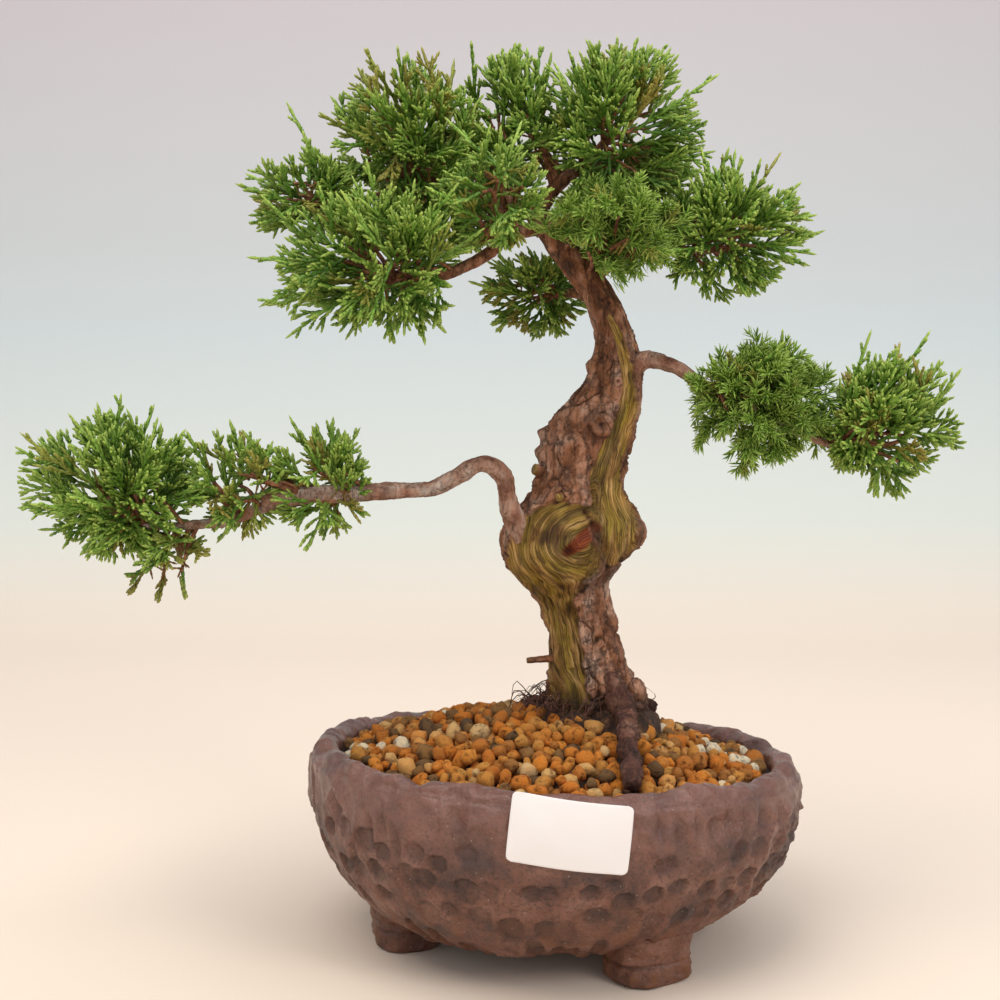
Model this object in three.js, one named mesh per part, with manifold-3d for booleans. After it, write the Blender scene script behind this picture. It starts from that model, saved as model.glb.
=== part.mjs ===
// A juniper bonsai in a hand-formed clay bowl, in millimetres, +Z up.
// The bowl stands on three clay feet. Inside are a plastic drainage mesh, held by a wire staple, a bed of
// granular soil and an old root ball. The tree is one piece of wood: roots, twisted trunk and branches.
// It carries separate masses of foliage. A plain paper label is stuck to the front of the bowl.
import * as THREE from "three";
import { mergeVertices } from "three/addons/utils/BufferGeometryUtils.js";
import Module from "manifold-3d";

const wasm = await Module();
wasm.setup();

// ---------------------------------------------------------------- driving dimensions
const CLEARANCE = 0.3; // between pieces that touch
const AROUND = 36; // facets round the bowl and what fits in it

const BOWL_RADIUS = 85; // outside, at its widest
const BOWL_HEIGHT = 66; // mean height of the lip
const BOWL_SHOULDER = 11; // from the widest place up to the lip
const BOWL_WALL = 8.5;
const BASE_RADIUS = 40; // flat underside
const FLOOR_RADIUS = 34; // flat part of the floor inside
const UNDERSIDE = 8; // height of the flat underside above the table
const FLOOR_THICKNESS = 8;
const LIP_ROUND = 4; // height of the rounded edge of the lip
const LIP_LEAN = 1.5; // how far the lip turns in from the widest place
const LIP_SLOPE = 5.5; // the lip is higher than its mean on one side, lower on the other
const LIP_HIGH_AT = 225; // degrees, the side that is high
const LIP_WAVE = 0.8; // rise and fall of the hand-made lip
const DRAIN_RADIUS = 6;

const FOOT_RING = BASE_RADIUS + 13; // radius on which the feet stand
const FOOT_WIDTH = 28; // along the ring
const FOOT_DEPTH = 23; // towards the middle
const FOOT_HEIGHT = UNDERSIDE + 0.85 * FLOOR_THICKNESS; // ends in the clay of the floor
const FOOT_BEVEL = 1.8;
const FEET_AT = [-57, 194, 70]; // degrees, from +X towards +Y

const MESH_SIZE = 26;
const MESH_THICKNESS = 1.2;
const MESH_HOLE = 4;
const MESH_PITCH = 5.5;
const MESH_HOLES = 4; // in each direction
const STAPLE_WIRE = 0.8; // radius
const STAPLE_REACH = 15; // how far each end is bent out under the bowl

const SOIL_MARGIN = 4; // flat strip of soil along the wall
const SOIL_MOUND = 15; // rise from the wall to the middle
const BALL_RADIUS = 25;
const BALL_DEPTH = 34;
const BALL_TOP = BOWL_HEIGHT + 18;
const BALL_AT = new THREE.Vector2(13, 3);

const LABEL_WIDTH = 38;
const LABEL_HEIGHT = 19;
const LABEL_THICKNESS = 0.3;
const LABEL_LIFT = 0.5; // from the clay's mean surface
const LABEL_AT = BOWL_HEIGHT - 11.5; // height of its middle
const LABEL_TURN = 0.7; // degrees round the bowl from its front
const LABEL_TILT = -5; // degrees in its own plane

// ---------------------------------------------------------------- the wood
// All heights of the tree are from the mean height of the bowl's lip.
// Level sections of the trunk: height, middle in x and y, half width in x, half depth in y.
const TRUNK = [
  [-4, 14, 1, 15, 13],
  [18, 13.5, 1, 16.5, 14.5],
  [26, 11.2, 0.5, 14.2, 13],
  [38, 10, 0, 12.5, 12],
  [49, 7.2, 0, 11.8, 12],
  [56, 4.4, -0.5, 14, 14],
  [65, 3.4, -1, 20.3, 17],
  [75, 5.4, -1, 23.6, 18.5],
  [81, 6, -0.5, 22, 17],
  [87, 7.4, 0, 17.6, 15],
  [94, 9, 0, 15.1, 13.5],
  [109, 12.6, 0, 15.5, 13],
  [118, 15.8, 0, 13.4, 12],
  [128, 20, 0, 9.6, 10],
  [138, 21.4, 0, 7, 8.5],
  [148, 19.2, 0, 5.8, 7],
  [158, 14.6, 0, 6, 6.5],
  [168, 6.8, 0, 6.9, 6.5],
  [177, -0.6, 0, 5.4, 5],
  [186, -7, 0, 3.4, 3.4],
];

// Branches, twigs and roots: x, y, z and radius along each.
const LIMBS = {
  left_branch: [
    [0, -4, 70, 5],
    [-13, -10, 77, 4.6],
    [-16, -13, 87, 3.2],
    [-18, -14, 95, 2.9],
    [-25, -16, 99, 2.7],
    [-35, -18, 94, 2.7],
    [-43, -19, 91, 2.7],
    [-60, -21, 90, 2.9],
    [-85, -24, 89, 3.4],
    [-99, -25, 87, 3],
    [-114, -26, 80, 2.2],
    [-133, -27, 79, 1.6],
  ],
  right_branch: [
    [20, -1, 130, 4.2],
    [31, -4, 135, 3.4],
    [41, -8, 132, 2.8],
    [49, -10, 126, 2.5],
    [58, -12, 121, 2.2],
    [70, -13, 117, 1.8],
    [86, -14, 108, 1.6],
    [104, -15, 103, 1.2],
  ],
  leader: [
    [-3, 0, 180, 4],
    [-12, -2, 188, 3],
    [-24, -4, 191, 2.3],
    [-40, -5, 190, 1.8],
    [-55, -6, 191, 1.5],
    [-80, -9, 184, 1.2],
  ],
  crown_front_branch: [
    [-6, -1, 182, 2.6],
    [-16, -12, 176, 2.2],
    [-24, -22, 168, 1.8],
    [-40, -28, 161, 1.5],
    [-62, -33, 160, 1.2],
  ],
  crown_right_branch: [
    [12, 0, 164, 2.8],
    [24, -2, 170, 2],
    [38, -3, 172, 1.7],
    [60, -5, 172, 1.3],
  ],
  crown_top_branch: [
    [-7, 0, 184, 3],
    [0, 1, 194, 2.4],
    [11, 1, 203, 1.9],
    [20, 0, 213, 1.4],
  ],
  crown_back_branch: [
    [15, 2, 156, 2.6],
    [9, 18, 159, 2],
    [0, 32, 160, 1.6],
  ],
  crown_back_left_branch: [
    [-10, 0, 186, 2.4],
    [-22, 16, 190, 2],
    [-36, 34, 191, 1.5],
  ],
  crown_back_right_branch: [
    [4, 1, 172, 2.6],
    [16, 16, 182, 2.1],
    [27, 32, 190, 1.6],
  ],
  front_root: [
    [16, -4, 24, 6],
    [19, -13, 20, 4.8],
    [21, -26, 14, 3.4],
    [20, -42, 9.5, 2.9],
    [21, -57, 5.5, 2.5],
    [22, -66, 2, 2],
  ],
  right_root: [
    [18, 4, 20, 5],
    [28, 8, 16, 3.6],
    [36, 13, 11, 2.6],
  ],
  left_root: [
    [6, 2, 18, 5],
    [-4, 6, 14, 3.6],
    [-12, 12, 9, 2.6],
  ],
};

// ---------------------------------------------------------------- the foliage
// Each mass of foliage: middle and half sizes.
const FOLIAGE = {
  left_tip_foliage: [-146, -28, 92, 31, 27, 24],
  left_middle_foliage: [-111, -27, 93, 24, 25, 18],
  left_inner_foliage: [-81, -24, 92, 20, 22, 20],
  left_hanging_foliage: [-130, -28, 68, 18, 17, 14],
  right_inner_foliage: [71, -14, 119, 28, 25, 21],
  right_tip_foliage: [113, -15, 112, 25, 26, 24],
  crown_left_foliage: [-86, -10, 188, 21, 21, 17],
  crown_upper_left_foliage: [-51, -8, 208, 26, 30, 29],
  crown_lower_left_foliage: [-60, -38, 163, 35, 27, 24],
  crown_top_foliage: [-17, 6, 216, 21, 27, 25],
  crown_upper_right_foliage: [21, -2, 211, 31, 29, 31],
  crown_right_foliage: [60, -6, 177, 28, 26, 22],
  crown_middle_foliage: [20, -22, 177, 27, 19, 18],
  crown_front_foliage: [-20, -36, 186, 20, 21, 19],
  crown_underside_foliage: [-6, 34, 159, 22, 20, 16],
  crown_back_left_foliage: [-40, 36, 195, 30, 25, 22],
  crown_back_right_foliage: [29, 34, 191, 30, 25, 24],
};

// ---------------------------------------------------------------- helpers
function solidOf(geometry) {
  const bare = geometry.clone();
  for (const name of Object.keys(bare.attributes)) {
    if (name !== "position") bare.deleteAttribute(name);
  }
  const merged = mergeVertices(bare, 1e-4);
  return new wasm.Manifold(
    new wasm.Mesh({
      numProp: 3,
      vertProperties: merged.attributes.position.array,
      triVerts: new Uint32Array(merged.index.array),
    }),
  );
}

function geometryOf(solid) {
  const { vertProperties, triVerts } = solid.getMesh();
  return new THREE.BufferGeometry()
    .setAttribute("position", new THREE.BufferAttribute(vertProperties, 3))
    .setIndex(new THREE.BufferAttribute(triVerts, 1));
}

// Moves each corner of a geometry by a function of its place.
function bend(geometry, move) {
  const corners = geometry.attributes.position;
  const at = new THREE.Vector3();
  for (let i = 0; i < corners.count; i++) {
    move(at.fromBufferAttribute(corners, i));
    corners.setXYZ(i, at.x, at.y, at.z);
  }
  return geometry;
}

// A lathe turns about +Y, so it is laid up to turn about +Z.
function turned(profile) {
  const outline = profile.map(([radius, height]) => new THREE.Vector2(radius, height));
  return new THREE.LatheGeometry(outline, AROUND).rotateX(Math.PI / 2);
}

// The value between two rows of a table, with the table's first column as the place.
function between(table, place) {
  const last = table.length - 2;
  const above = table.findIndex((row) => row[0] >= place);
  const row = above < 0 ? last : Math.max(0, above - 1);
  const [low, high] = [table[row], table[row + 1]];
  const share = THREE.MathUtils.smoothstep(place, low[0], high[0]);
  const even = THREE.MathUtils.inverseLerp(low[0], high[0], place);
  return low.map((v, i) => THREE.MathUtils.lerp(v, high[i], (share + even) / 2));
}

// ---------------------------------------------------------------- the bowl
// The slight unevenness of a bowl that is shaped by hand. It is the same for all that fits the bowl.
function handFormed(at) {
  const angle = Math.atan2(at.y, at.x);
  const outward = Math.hypot(at.x, at.y) / BOWL_RADIUS;
  const swell = 1 + 0.01 * Math.sin(2 * angle + 0.6) + 0.006 * Math.sin(3 * angle + 2);
  const share = THREE.MathUtils.smoothstep(at.z, UNDERSIDE + FLOOR_THICKNESS, BOWL_HEIGHT);
  const slope = LIP_SLOPE * Math.cos(angle - THREE.MathUtils.degToRad(LIP_HIGH_AT));
  at.x *= swell;
  at.y *= swell;
  at.z += share * outward * (slope + LIP_WAVE * Math.sin(5 * angle));
}

// The outside of the wall: a quarter of an ellipse up to the widest place, then a slight lean inwards.
const WIDEST_AT = BOWL_HEIGHT - BOWL_SHOULDER;
function wallRadius(height) {
  const rise = (height - WIDEST_AT) / BOWL_SHOULDER;
  if (rise > 0) return BOWL_RADIUS - LIP_LEAN * rise ** 2;
  const drop = (WIDEST_AT - height) / (WIDEST_AT - UNDERSIDE);
  return BASE_RADIUS + (BOWL_RADIUS - BASE_RADIUS) * Math.sqrt(Math.max(0, 1 - drop ** 2));
}

// The inside of the bowl at a height, for the bowl itself and for the soil in it.
const INNER_FLOOR = UNDERSIDE + FLOOR_THICKNESS;
const INNER_RADIUS = BOWL_RADIUS - LIP_LEAN - BOWL_WALL;
function hollowRadius(height) {
  const drop = (BOWL_HEIGHT - height) / (BOWL_HEIGHT - INNER_FLOOR);
  return FLOOR_RADIUS + (INNER_RADIUS - FLOOR_RADIUS) * Math.sqrt(Math.max(0, 1 - drop ** 3));
}

function steps(count, from, to, make) {
  return Array.from({ length: count + 1 }, (_, i) => make(from + ((to - from) * i) / count));
}

const LIP_BOTTOM = BOWL_HEIGHT - LIP_ROUND;
const HOLLOW_TOP = LIP_BOTTOM - 1;
function hollowSide() {
  return steps(7, 0, 1, (share) => {
    const height = HOLLOW_TOP - (HOLLOW_TOP - INNER_FLOOR) * Math.sin((share * Math.PI) / 2);
    return [hollowRadius(height), height];
  });
}

function foot(angle) {
  const half = new THREE.Vector2(FOOT_DEPTH / 2, FOOT_WIDTH / 2).subScalar(FOOT_BEVEL);
  const outline = new THREE.Shape();
  outline.absellipse(-half.x * 0.3, 0, half.x * 0.7, half.y, Math.PI / 2, (3 * Math.PI) / 2);
  outline.lineTo(half.x * 0.6, -half.y);
  outline.quadraticCurveTo(half.x, -half.y, half.x, -half.y * 0.6);
  outline.lineTo(half.x, half.y * 0.6);
  outline.quadraticCurveTo(half.x, half.y, half.x * 0.6, half.y);
  const block = new THREE.ExtrudeGeometry(outline, {
    depth: FOOT_HEIGHT - 2 * FOOT_BEVEL,
    curveSegments: 6,
    bevelThickness: FOOT_BEVEL,
    bevelSize: FOOT_BEVEL,
    bevelSegments: 2,
  });
  block.translate(FOOT_RING, 0, FOOT_BEVEL).rotateZ(THREE.MathUtils.degToRad(angle));
  return solidOf(block);
}

function makeBowl() {
  const lipMiddle = INNER_RADIUS + BOWL_WALL / 2;
  const profile = [
    [DRAIN_RADIUS, UNDERSIDE],
    ...steps(9, 0, 1, (share) => {
      const height = UNDERSIDE + (WIDEST_AT - UNDERSIDE) * (1 - Math.cos((share * Math.PI) / 2));
      return [wallRadius(height), height];
    }),
    [wallRadius(LIP_BOTTOM), LIP_BOTTOM],
    ...steps(3, 0.2, 0.8, (share) => [
      lipMiddle + (BOWL_WALL / 2) * Math.cos(share * Math.PI),
      LIP_BOTTOM + LIP_ROUND * Math.sin(share * Math.PI),
    ]),
    ...hollowSide(),
    [DRAIN_RADIUS, INNER_FLOOR],
    [DRAIN_RADIUS, UNDERSIDE],
  ];
  let bowl = solidOf(bend(turned(profile), handFormed));
  for (const angle of FEET_AT) bowl = bowl.add(foot(angle));
  return bowl;
}

// ---------------------------------------------------------------- drainage
const MESH_BOTTOM = INNER_FLOOR + CLEARANCE;
const MESH_TOP = MESH_BOTTOM + MESH_THICKNESS;
const STAPLE_TOP = MESH_TOP + CLEARANCE + STAPLE_WIRE;
const STAPLE_BOTTOM = UNDERSIDE - CLEARANCE - STAPLE_WIRE;

function makeDrainMesh() {
  const block = (size, x, y, spare) =>
    solidOf(
      new THREE.BoxGeometry(size, size, MESH_THICKNESS + 2 * spare).translate(
        x,
        y,
        MESH_BOTTOM + MESH_THICKNESS / 2,
      ),
    );
  let plate = block(MESH_SIZE, 0, 0, 0);
  for (let column = 0; column < MESH_HOLES; column++) {
    for (let row = 0; row < MESH_HOLES; row++) {
      const x = (column - (MESH_HOLES - 1) / 2) * MESH_PITCH;
      const y = (row - (MESH_HOLES - 1) / 2) * MESH_PITCH;
      plate = plate.subtract(block(MESH_HOLE, x, y, 1));
    }
  }
  return plate;
}

// One wire: along the mesh, down through two of its holes and the drain hole, and out under the bowl.
function makeStaple() {
  const leg = MESH_PITCH / 2;
  const turn = 2 * STAPLE_WIRE;
  const at = (x, z) => new THREE.Vector3(x, leg, z);
  const path = new THREE.CurvePath();
  const corner = (a, b, c) => path.add(new THREE.QuadraticBezierCurve3(a, b, c));
  const straight = (a, b) => path.add(new THREE.LineCurve3(a, b));
  straight(at(-STAPLE_REACH, STAPLE_BOTTOM), at(-leg - turn, STAPLE_BOTTOM));
  corner(at(-leg - turn, STAPLE_BOTTOM), at(-leg, STAPLE_BOTTOM), at(-leg, STAPLE_BOTTOM + turn));
  straight(at(-leg, STAPLE_BOTTOM + turn), at(-leg, STAPLE_TOP - turn));
  corner(at(-leg, STAPLE_TOP - turn), at(-leg, STAPLE_TOP), at(-leg + turn, STAPLE_TOP));
  straight(at(-leg + turn, STAPLE_TOP), at(leg - turn, STAPLE_TOP));
  corner(at(leg - turn, STAPLE_TOP), at(leg, STAPLE_TOP), at(leg, STAPLE_TOP - turn));
  straight(at(leg, STAPLE_TOP - turn), at(leg, STAPLE_BOTTOM + turn));
  corner(at(leg, STAPLE_BOTTOM + turn), at(leg, STAPLE_BOTTOM), at(leg + turn, STAPLE_BOTTOM));
  straight(at(leg + turn, STAPLE_BOTTOM), at(STAPLE_REACH, STAPLE_BOTTOM));
  const section = new THREE.Shape().absarc(0, 0, STAPLE_WIRE, 0, 2 * Math.PI);
  const wire = new THREE.ExtrudeGeometry(section, { steps: 30, curveSegments: 3, extrudePath: path });
  return solidOf(wire);
}

// ---------------------------------------------------------------- the tree
function limb(points, gap, sides = 7) {
  const curve = new THREE.CatmullRomCurve3(points.map(([x, y, z]) => new THREE.Vector3(x, y, z)));
  const count = 2 * (points.length - 1);
  const frames = curve.computeFrenetFrames(count);
  const table = points.map((p, i) => [i, p[3]]);
  return solidOf(
    bend(new THREE.CylinderGeometry(1, 1, 1, sides, count), (at) => {
      const ring = Math.round((0.5 - at.y) * count);
      const along = ring / count;
      const radius = between(table, curve.getUtoTmapping(along) * (points.length - 1))[1] + gap;
      const end = ring === 0 ? -gap : ring === count ? gap : 0;
      const { x, z } = at;
      at.copy(curve.getPointAt(along))
        .addScaledVector(frames.normals[ring], x * radius)
        .addScaledVector(frames.binormals[ring], z * radius)
        .addScaledVector(frames.tangents[ring], end);
    }),
  );
}

function trunkColumn(gap) {
  const [foot, top] = [TRUNK[0][0], TRUNK.at(-1)[0]];
  const column = new THREE.CylinderGeometry(1, 1, 1, 16, 26);
  return solidOf(
    bend(column.rotateX(Math.PI / 2), (at) => {
      const height = THREE.MathUtils.lerp(foot, top, at.z + 0.5);
      const [, x, y, halfWidth, halfDepth] = between(TRUNK, height);
      at.set(x + at.x * (halfWidth + gap), y + at.y * (halfDepth + gap), height);
      if (height === foot) at.z -= gap;
      if (height === top) at.z += gap;
    }),
  );
}

// All the wood, grown by a gap where it cuts its seat in what touches it.
function wood(gap) {
  const tree = Object.values(LIMBS).reduce((sum, points) => sum.add(limb(points, gap)), trunkColumn(gap));
  return tree.translate(0, 0, BOWL_HEIGHT);
}

// ---------------------------------------------------------------- soil
function rootBall(gap) {
  const round = (BALL_RADIUS + gap) / BALL_RADIUS;
  const profile = [
    [0, BALL_TOP - BALL_DEPTH - gap],
    [BALL_RADIUS * 0.8, BALL_TOP - BALL_DEPTH - gap],
    [BALL_RADIUS, BALL_TOP - BALL_DEPTH * 0.6],
    [BALL_RADIUS, BALL_TOP - BALL_DEPTH * 0.3],
    [BALL_RADIUS * 0.8, BALL_TOP - 2.5 + gap],
    [BALL_RADIUS * 0.5, BALL_TOP + gap],
    [0, BALL_TOP + 1 + gap],
  ];
  const ball = turned(profile.map(([radius, height]) => [radius * round, height]));
  return solidOf(ball.translate(BALL_AT.x, BALL_AT.y, 0));
}

function soil() {
  const overMesh = STAPLE_TOP + STAPLE_WIRE + CLEARANCE;
  const meshReach = MESH_SIZE * Math.SQRT1_2 + CLEARANCE;
  const profile = [
    [0, overMesh],
    [meshReach, overMesh],
    [meshReach, INNER_FLOOR + CLEARANCE],
    ...hollowSide()
      .reverse()
      .map(([radius, height]) => [radius - CLEARANCE, height + CLEARANCE]),
    ...steps(5, 0, 1, (share) => [
      (INNER_RADIUS - SOIL_MARGIN) * (1 - share),
      HOLLOW_TOP + 1 + SOIL_MOUND * Math.sin((share * Math.PI) / 2),
    ]),
  ];
  return solidOf(bend(turned(profile), handFormed));
}

// ---------------------------------------------------------------- label and foliage
function makeLabel() {
  const sheet = new THREE.BoxGeometry(LABEL_WIDTH, LABEL_HEIGHT, LABEL_THICKNESS, 10, 5, 1);
  sheet.rotateZ(THREE.MathUtils.degToRad(LABEL_TILT));
  return solidOf(
    bend(sheet, (at) => {
      const height = LABEL_AT + at.y;
      const angle = at.x / BOWL_RADIUS + THREE.MathUtils.degToRad(LABEL_TURN);
      const radius = wallRadius(height) + LABEL_LIFT + LABEL_THICKNESS / 2 + at.z;
      at.set(radius * Math.sin(angle), -radius * Math.cos(angle), height);
      handFormed(at);
    }),
  );
}

function foliage([x, y, z, halfX, halfY, halfZ], gap) {
  const ball = new THREE.SphereGeometry(1, 10, 7).rotateX(Math.PI / 2);
  ball.scale(halfX + gap, halfY + gap, halfZ + gap).translate(x, y, z + BOWL_HEIGHT);
  return solidOf(ball);
}

// ---------------------------------------------------------------- assembly
const material = (colour, roughness) =>
  new THREE.MeshStandardMaterial({ color: colour, roughness, metalness: 0 });
const MATERIALS = {
  clay: material(0x5b4644, 0.55),
  plastic: material(0x1d1f1e, 0.5),
  wire: new THREE.MeshStandardMaterial({ color: 0xa9a39a, roughness: 0.4, metalness: 1 }),
  granules: material(0xa9702f, 0.95),
  rootBall: material(0x2b1d14, 0.95),
  bark: material(0x8a6a55, 0.85),
  paper: material(0xeeebea, 0.35),
  scaleLeaves: material(0x3f7a1c, 0.6),
  needles: material(0x3c8030, 0.6),
};
const NEEDLE_LEAVED = ["right_inner_foliage", "crown_middle_foliage"];

const bonsai = new THREE.Group();
function place(name, solid, look) {
  const mesh = new THREE.Mesh(geometryOf(solid), look);
  mesh.name = name;
  bonsai.add(mesh);
}

const woodSeat = wood(CLEARANCE);
place("pot", makeBowl(), MATERIALS.clay);
place("drain_mesh", makeDrainMesh(), MATERIALS.plastic);
place("mesh_staple", makeStaple(), MATERIALS.wire);
place("soil_bed", soil().subtract(rootBall(CLEARANCE)).subtract(woodSeat), MATERIALS.granules);
place("root_ball", rootBall(0).subtract(woodSeat), MATERIALS.rootBall);
place("trunk", wood(0), MATERIALS.bark);
place("blank_label", makeLabel(), MATERIALS.paper);

// Each mass of foliage gives way to the wood that bears it and to the masses placed before it.
let taken = woodSeat;
for (const [name, sizes] of Object.entries(FOLIAGE)) {
  const look = NEEDLE_LEAVED.includes(name) ? MATERIALS.needles : MATERIALS.scaleLeaves;
  place(name, foliage(sizes, 0).subtract(taken), look);
  taken = taken.add(foliage(sizes, CLEARANCE));
}

// The origin is the middle of the whole object's box, on the table.
bonsai.updateMatrixWorld(true);
const box = new THREE.Box3().setFromObject(bonsai, true);
const middle = box.getCenter(new THREE.Vector3());
bonsai.position.set(-middle.x, -middle.y, -box.min.z);

export default bonsai;
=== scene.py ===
"""A juniper bonsai in a hand-formed stoneware bowl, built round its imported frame.

The frame gives every piece its place. Shapes are worked out here in millimetres from the bowl's axis
and the table, and are turned to metres where a mesh is made.
"""

import math

import bmesh
import bpy
import numpy as np
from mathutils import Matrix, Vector


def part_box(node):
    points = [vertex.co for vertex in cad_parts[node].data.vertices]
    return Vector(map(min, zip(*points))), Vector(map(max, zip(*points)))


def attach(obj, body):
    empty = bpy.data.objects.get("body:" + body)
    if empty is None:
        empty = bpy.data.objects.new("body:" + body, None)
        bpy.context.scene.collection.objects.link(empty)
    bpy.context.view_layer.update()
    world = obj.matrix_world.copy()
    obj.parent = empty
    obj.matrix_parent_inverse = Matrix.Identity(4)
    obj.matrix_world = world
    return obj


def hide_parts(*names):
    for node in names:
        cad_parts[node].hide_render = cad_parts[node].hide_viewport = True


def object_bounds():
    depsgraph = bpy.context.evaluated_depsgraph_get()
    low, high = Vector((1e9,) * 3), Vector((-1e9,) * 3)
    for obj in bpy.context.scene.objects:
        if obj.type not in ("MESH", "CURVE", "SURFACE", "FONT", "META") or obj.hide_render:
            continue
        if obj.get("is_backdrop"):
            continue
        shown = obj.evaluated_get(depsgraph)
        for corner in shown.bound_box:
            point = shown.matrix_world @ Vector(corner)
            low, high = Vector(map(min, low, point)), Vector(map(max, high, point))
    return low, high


bl_info = {
    "name": "Juniper Bonsai",
    "version": (1, 0, 0),
    "blender": (4, 5, 0),
    "location": "View3D > Sidebar > Bonsai",
    "description": "Juniper bonsai with deadwood, granular soil and a hand-formed stoneware bowl",
    "category": "Object",
}

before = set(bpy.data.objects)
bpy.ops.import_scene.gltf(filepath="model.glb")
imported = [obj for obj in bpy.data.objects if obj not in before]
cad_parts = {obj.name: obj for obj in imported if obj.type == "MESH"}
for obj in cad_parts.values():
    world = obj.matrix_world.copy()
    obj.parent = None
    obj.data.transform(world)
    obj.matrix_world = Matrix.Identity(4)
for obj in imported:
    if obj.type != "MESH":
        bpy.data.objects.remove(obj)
CAD_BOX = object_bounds()
MM = 0.001

# ------------------------------------------------------------------ places that the frame gives
MESH_LOW, MESH_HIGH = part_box("drain_mesh")
AXIS = np.array([(MESH_LOW.x + MESH_HIGH.x) / 2, (MESH_LOW.y + MESH_HIGH.y) / 2, 0.0])
WOOD_BELOW_LIP = 4.0  # mm, the wood's lowest section under the lip's mean height
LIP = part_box("trunk")[0].z / MM + WOOD_BELOW_LIP  # mm above the table
MESH_BOTTOM = MESH_LOW.z / MM

# ------------------------------------------------------------------ the bowl's sizes, in mm
BOWL_RADIUS = 85.0
BOWL_SHOULDER = 11.0
BOWL_WALL = 8.5
BASE_RADIUS = 40.0
FLOOR_RADIUS = 34.0
UNDERSIDE = 8.0
INNER_FLOOR = MESH_BOTTOM - 0.3
LIP_ROUND = 4.0
LIP_LEAN = 1.5
LIP_SLOPE = 5.5
LIP_HIGH_AT = math.radians(225)
LIP_WAVE = 0.8
DRAIN_RADIUS = 6.0
INNER_RADIUS = BOWL_RADIUS - LIP_LEAN - BOWL_WALL
WIDEST_AT = LIP - BOWL_SHOULDER
FOOT_RING = BASE_RADIUS + 13
FEET_AT = (-57, 194, 70)
FOOT_HALF = (11.5, 14.0)  # towards the middle, and along the ring
SOIL_MARGIN = 4.0
SOIL_MOUND = 15.0
HOLLOW_TOP = LIP - LIP_ROUND - 1
BALL_MIDDLE = np.array([13.0, 3.0])
BALL_RADIUS = 25.0
BALL_TOP = LIP + 18
LABEL_SIZE = (36.8, 19.8)
LABEL_AT = LIP - 10.4
LABEL_TURN = math.radians(1.3)
LABEL_TILT = math.radians(-6.0)

# ------------------------------------------------------------------ the wood, heights from the lip
# Level sections of the trunk: height, middle in x and y, half width in x, half depth in y.
TRUNK = (
    (-4, 14, 1, 15, 13),
    (18, 13.5, 1, 16.5, 14.5),
    (26, 11.2, 0.5, 14.2, 13),
    (38, 10, 0, 12.5, 12),
    (49, 7.2, 0, 11.8, 12),
    (56, 4.4, -0.5, 14, 14),
    (65, 3.4, -1, 20.3, 17),
    (75, 5.4, -1, 23.6, 18.5),
    (81, 6, -0.5, 22, 17),
    (87, 7.4, 0, 17.6, 15),
    (94, 9, 0, 15.1, 13.5),
    (109, 12.6, 0, 15.5, 13),
    (118, 15.8, 0, 13.4, 12),
    (128, 20, 0, 9.6, 10),
    (138, 21.4, 0, 7, 8.5),
    (148, 19.2, 0, 5.8, 7),
    (158, 14.6, 0, 6, 6.5),
    (168, 6.8, 0, 6.9, 6.5),
    (177, -0.6, 0, 5.4, 5),
    (186, -7, 0, 3.4, 3.4),
)
# Branches and roots: x, y, height and radius along each.
LEFT_BRANCH = (
    (0, -4, 66, 5),
    (-10, -9, 73, 4.8),
    (-14.5, -12, 81, 3.9),
    (-16.5, -13, 88, 3.1),
    (-18, -14, 95, 2.8),
    (-25, -16, 99, 2.7),
    (-35, -18, 94.5, 2.7),
    (-43, -19, 91, 2.6),
    (-60, -21, 90, 2.8),
    (-85, -24, 89, 3.3),
    (-98, -25, 87.5, 3.3),
)
LEFT_TWIG = (
    (-90, -24.5, 87, 1.8),
    (-101, -25, 84, 1.9),
    (-114, -26, 80, 1.7),
    (-133, -27, 79, 1.1),
    (-142, -27, 82, 0.7),
)
RIGHT_BRANCH = (
    (18, -1, 128, 4.6),
    (26, -3, 132, 3.9),
    (32, -4.5, 134.5, 3.1),
    (41, -8, 132, 2.6),
    (49, -10, 126, 2.4),
    (58, -12, 121, 2.1),
    (70, -13, 117, 1.6),
    (86, -14, 108, 1.4),
    (104, -15, 103, 0.9),
)
CROWN_LIMBS = (
    ((-3, 0, 180, 4.2), (-12, -2, 188, 3), (-24, -4, 191, 2.2), (-40, -5, 190, 1.7), (-55, -6, 191, 1.4), (-80, -9, 184, 0.9)),
    ((-3, -1, 181, 3), (-16, -12, 176, 2.2), (-24, -22, 168, 1.8), (-40, -28, 161, 1.5), (-62, -33, 160, 0.9)),
    ((10, 0, 163, 3.4), (24, -2, 170, 2), (38, -3, 172, 1.6), (60, -5, 172, 0.9)),
    ((-7, 0, 184, 3), (0, 1, 194, 2.3), (11, 1, 203, 1.7), (20, 0, 213, 1)),
    ((15, 2, 156, 3), (9, 18, 159, 1.9), (0, 32, 160, 1.2)),
    ((-10, 0, 186, 2.6), (-22, 16, 190, 1.9), (-36, 34, 191, 1.2)),
    ((4, 1, 172, 3), (16, 16, 182, 2), (27, 32, 190, 1.3)),
)
ROOTS = (
    ((16, -3, 27, 6), (21, -13, 20.5, 4.6), (23.5, -26, 14.5, 3.5), (22.5, -42, 10, 3.1), (22, -57, 6, 2.9), (22, -66, 2, 2.2)),
    ((18, 4, 20, 5.5), (28, 8, 16, 3.8), (36, 13, 10, 2.4)),
    ((6, 2, 18, 5.5), (-4, 6, 13.5, 3.8), (-12, 12, 8, 2.4)),
)
NEEDLE_LEAVED = ("right_inner_foliage", "crown_middle_foliage")
OLDER_LEAVED = {"left_hanging_foliage": 0.35, "left_middle_foliage": 0.25, "crown_upper_left_foliage": 0.2}
THINNER = {"left_inner_foliage": 0.7, "left_middle_foliage": 0.8, "left_hanging_foliage": 0.7, "crown_upper_right_foliage": 0.85}
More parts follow.
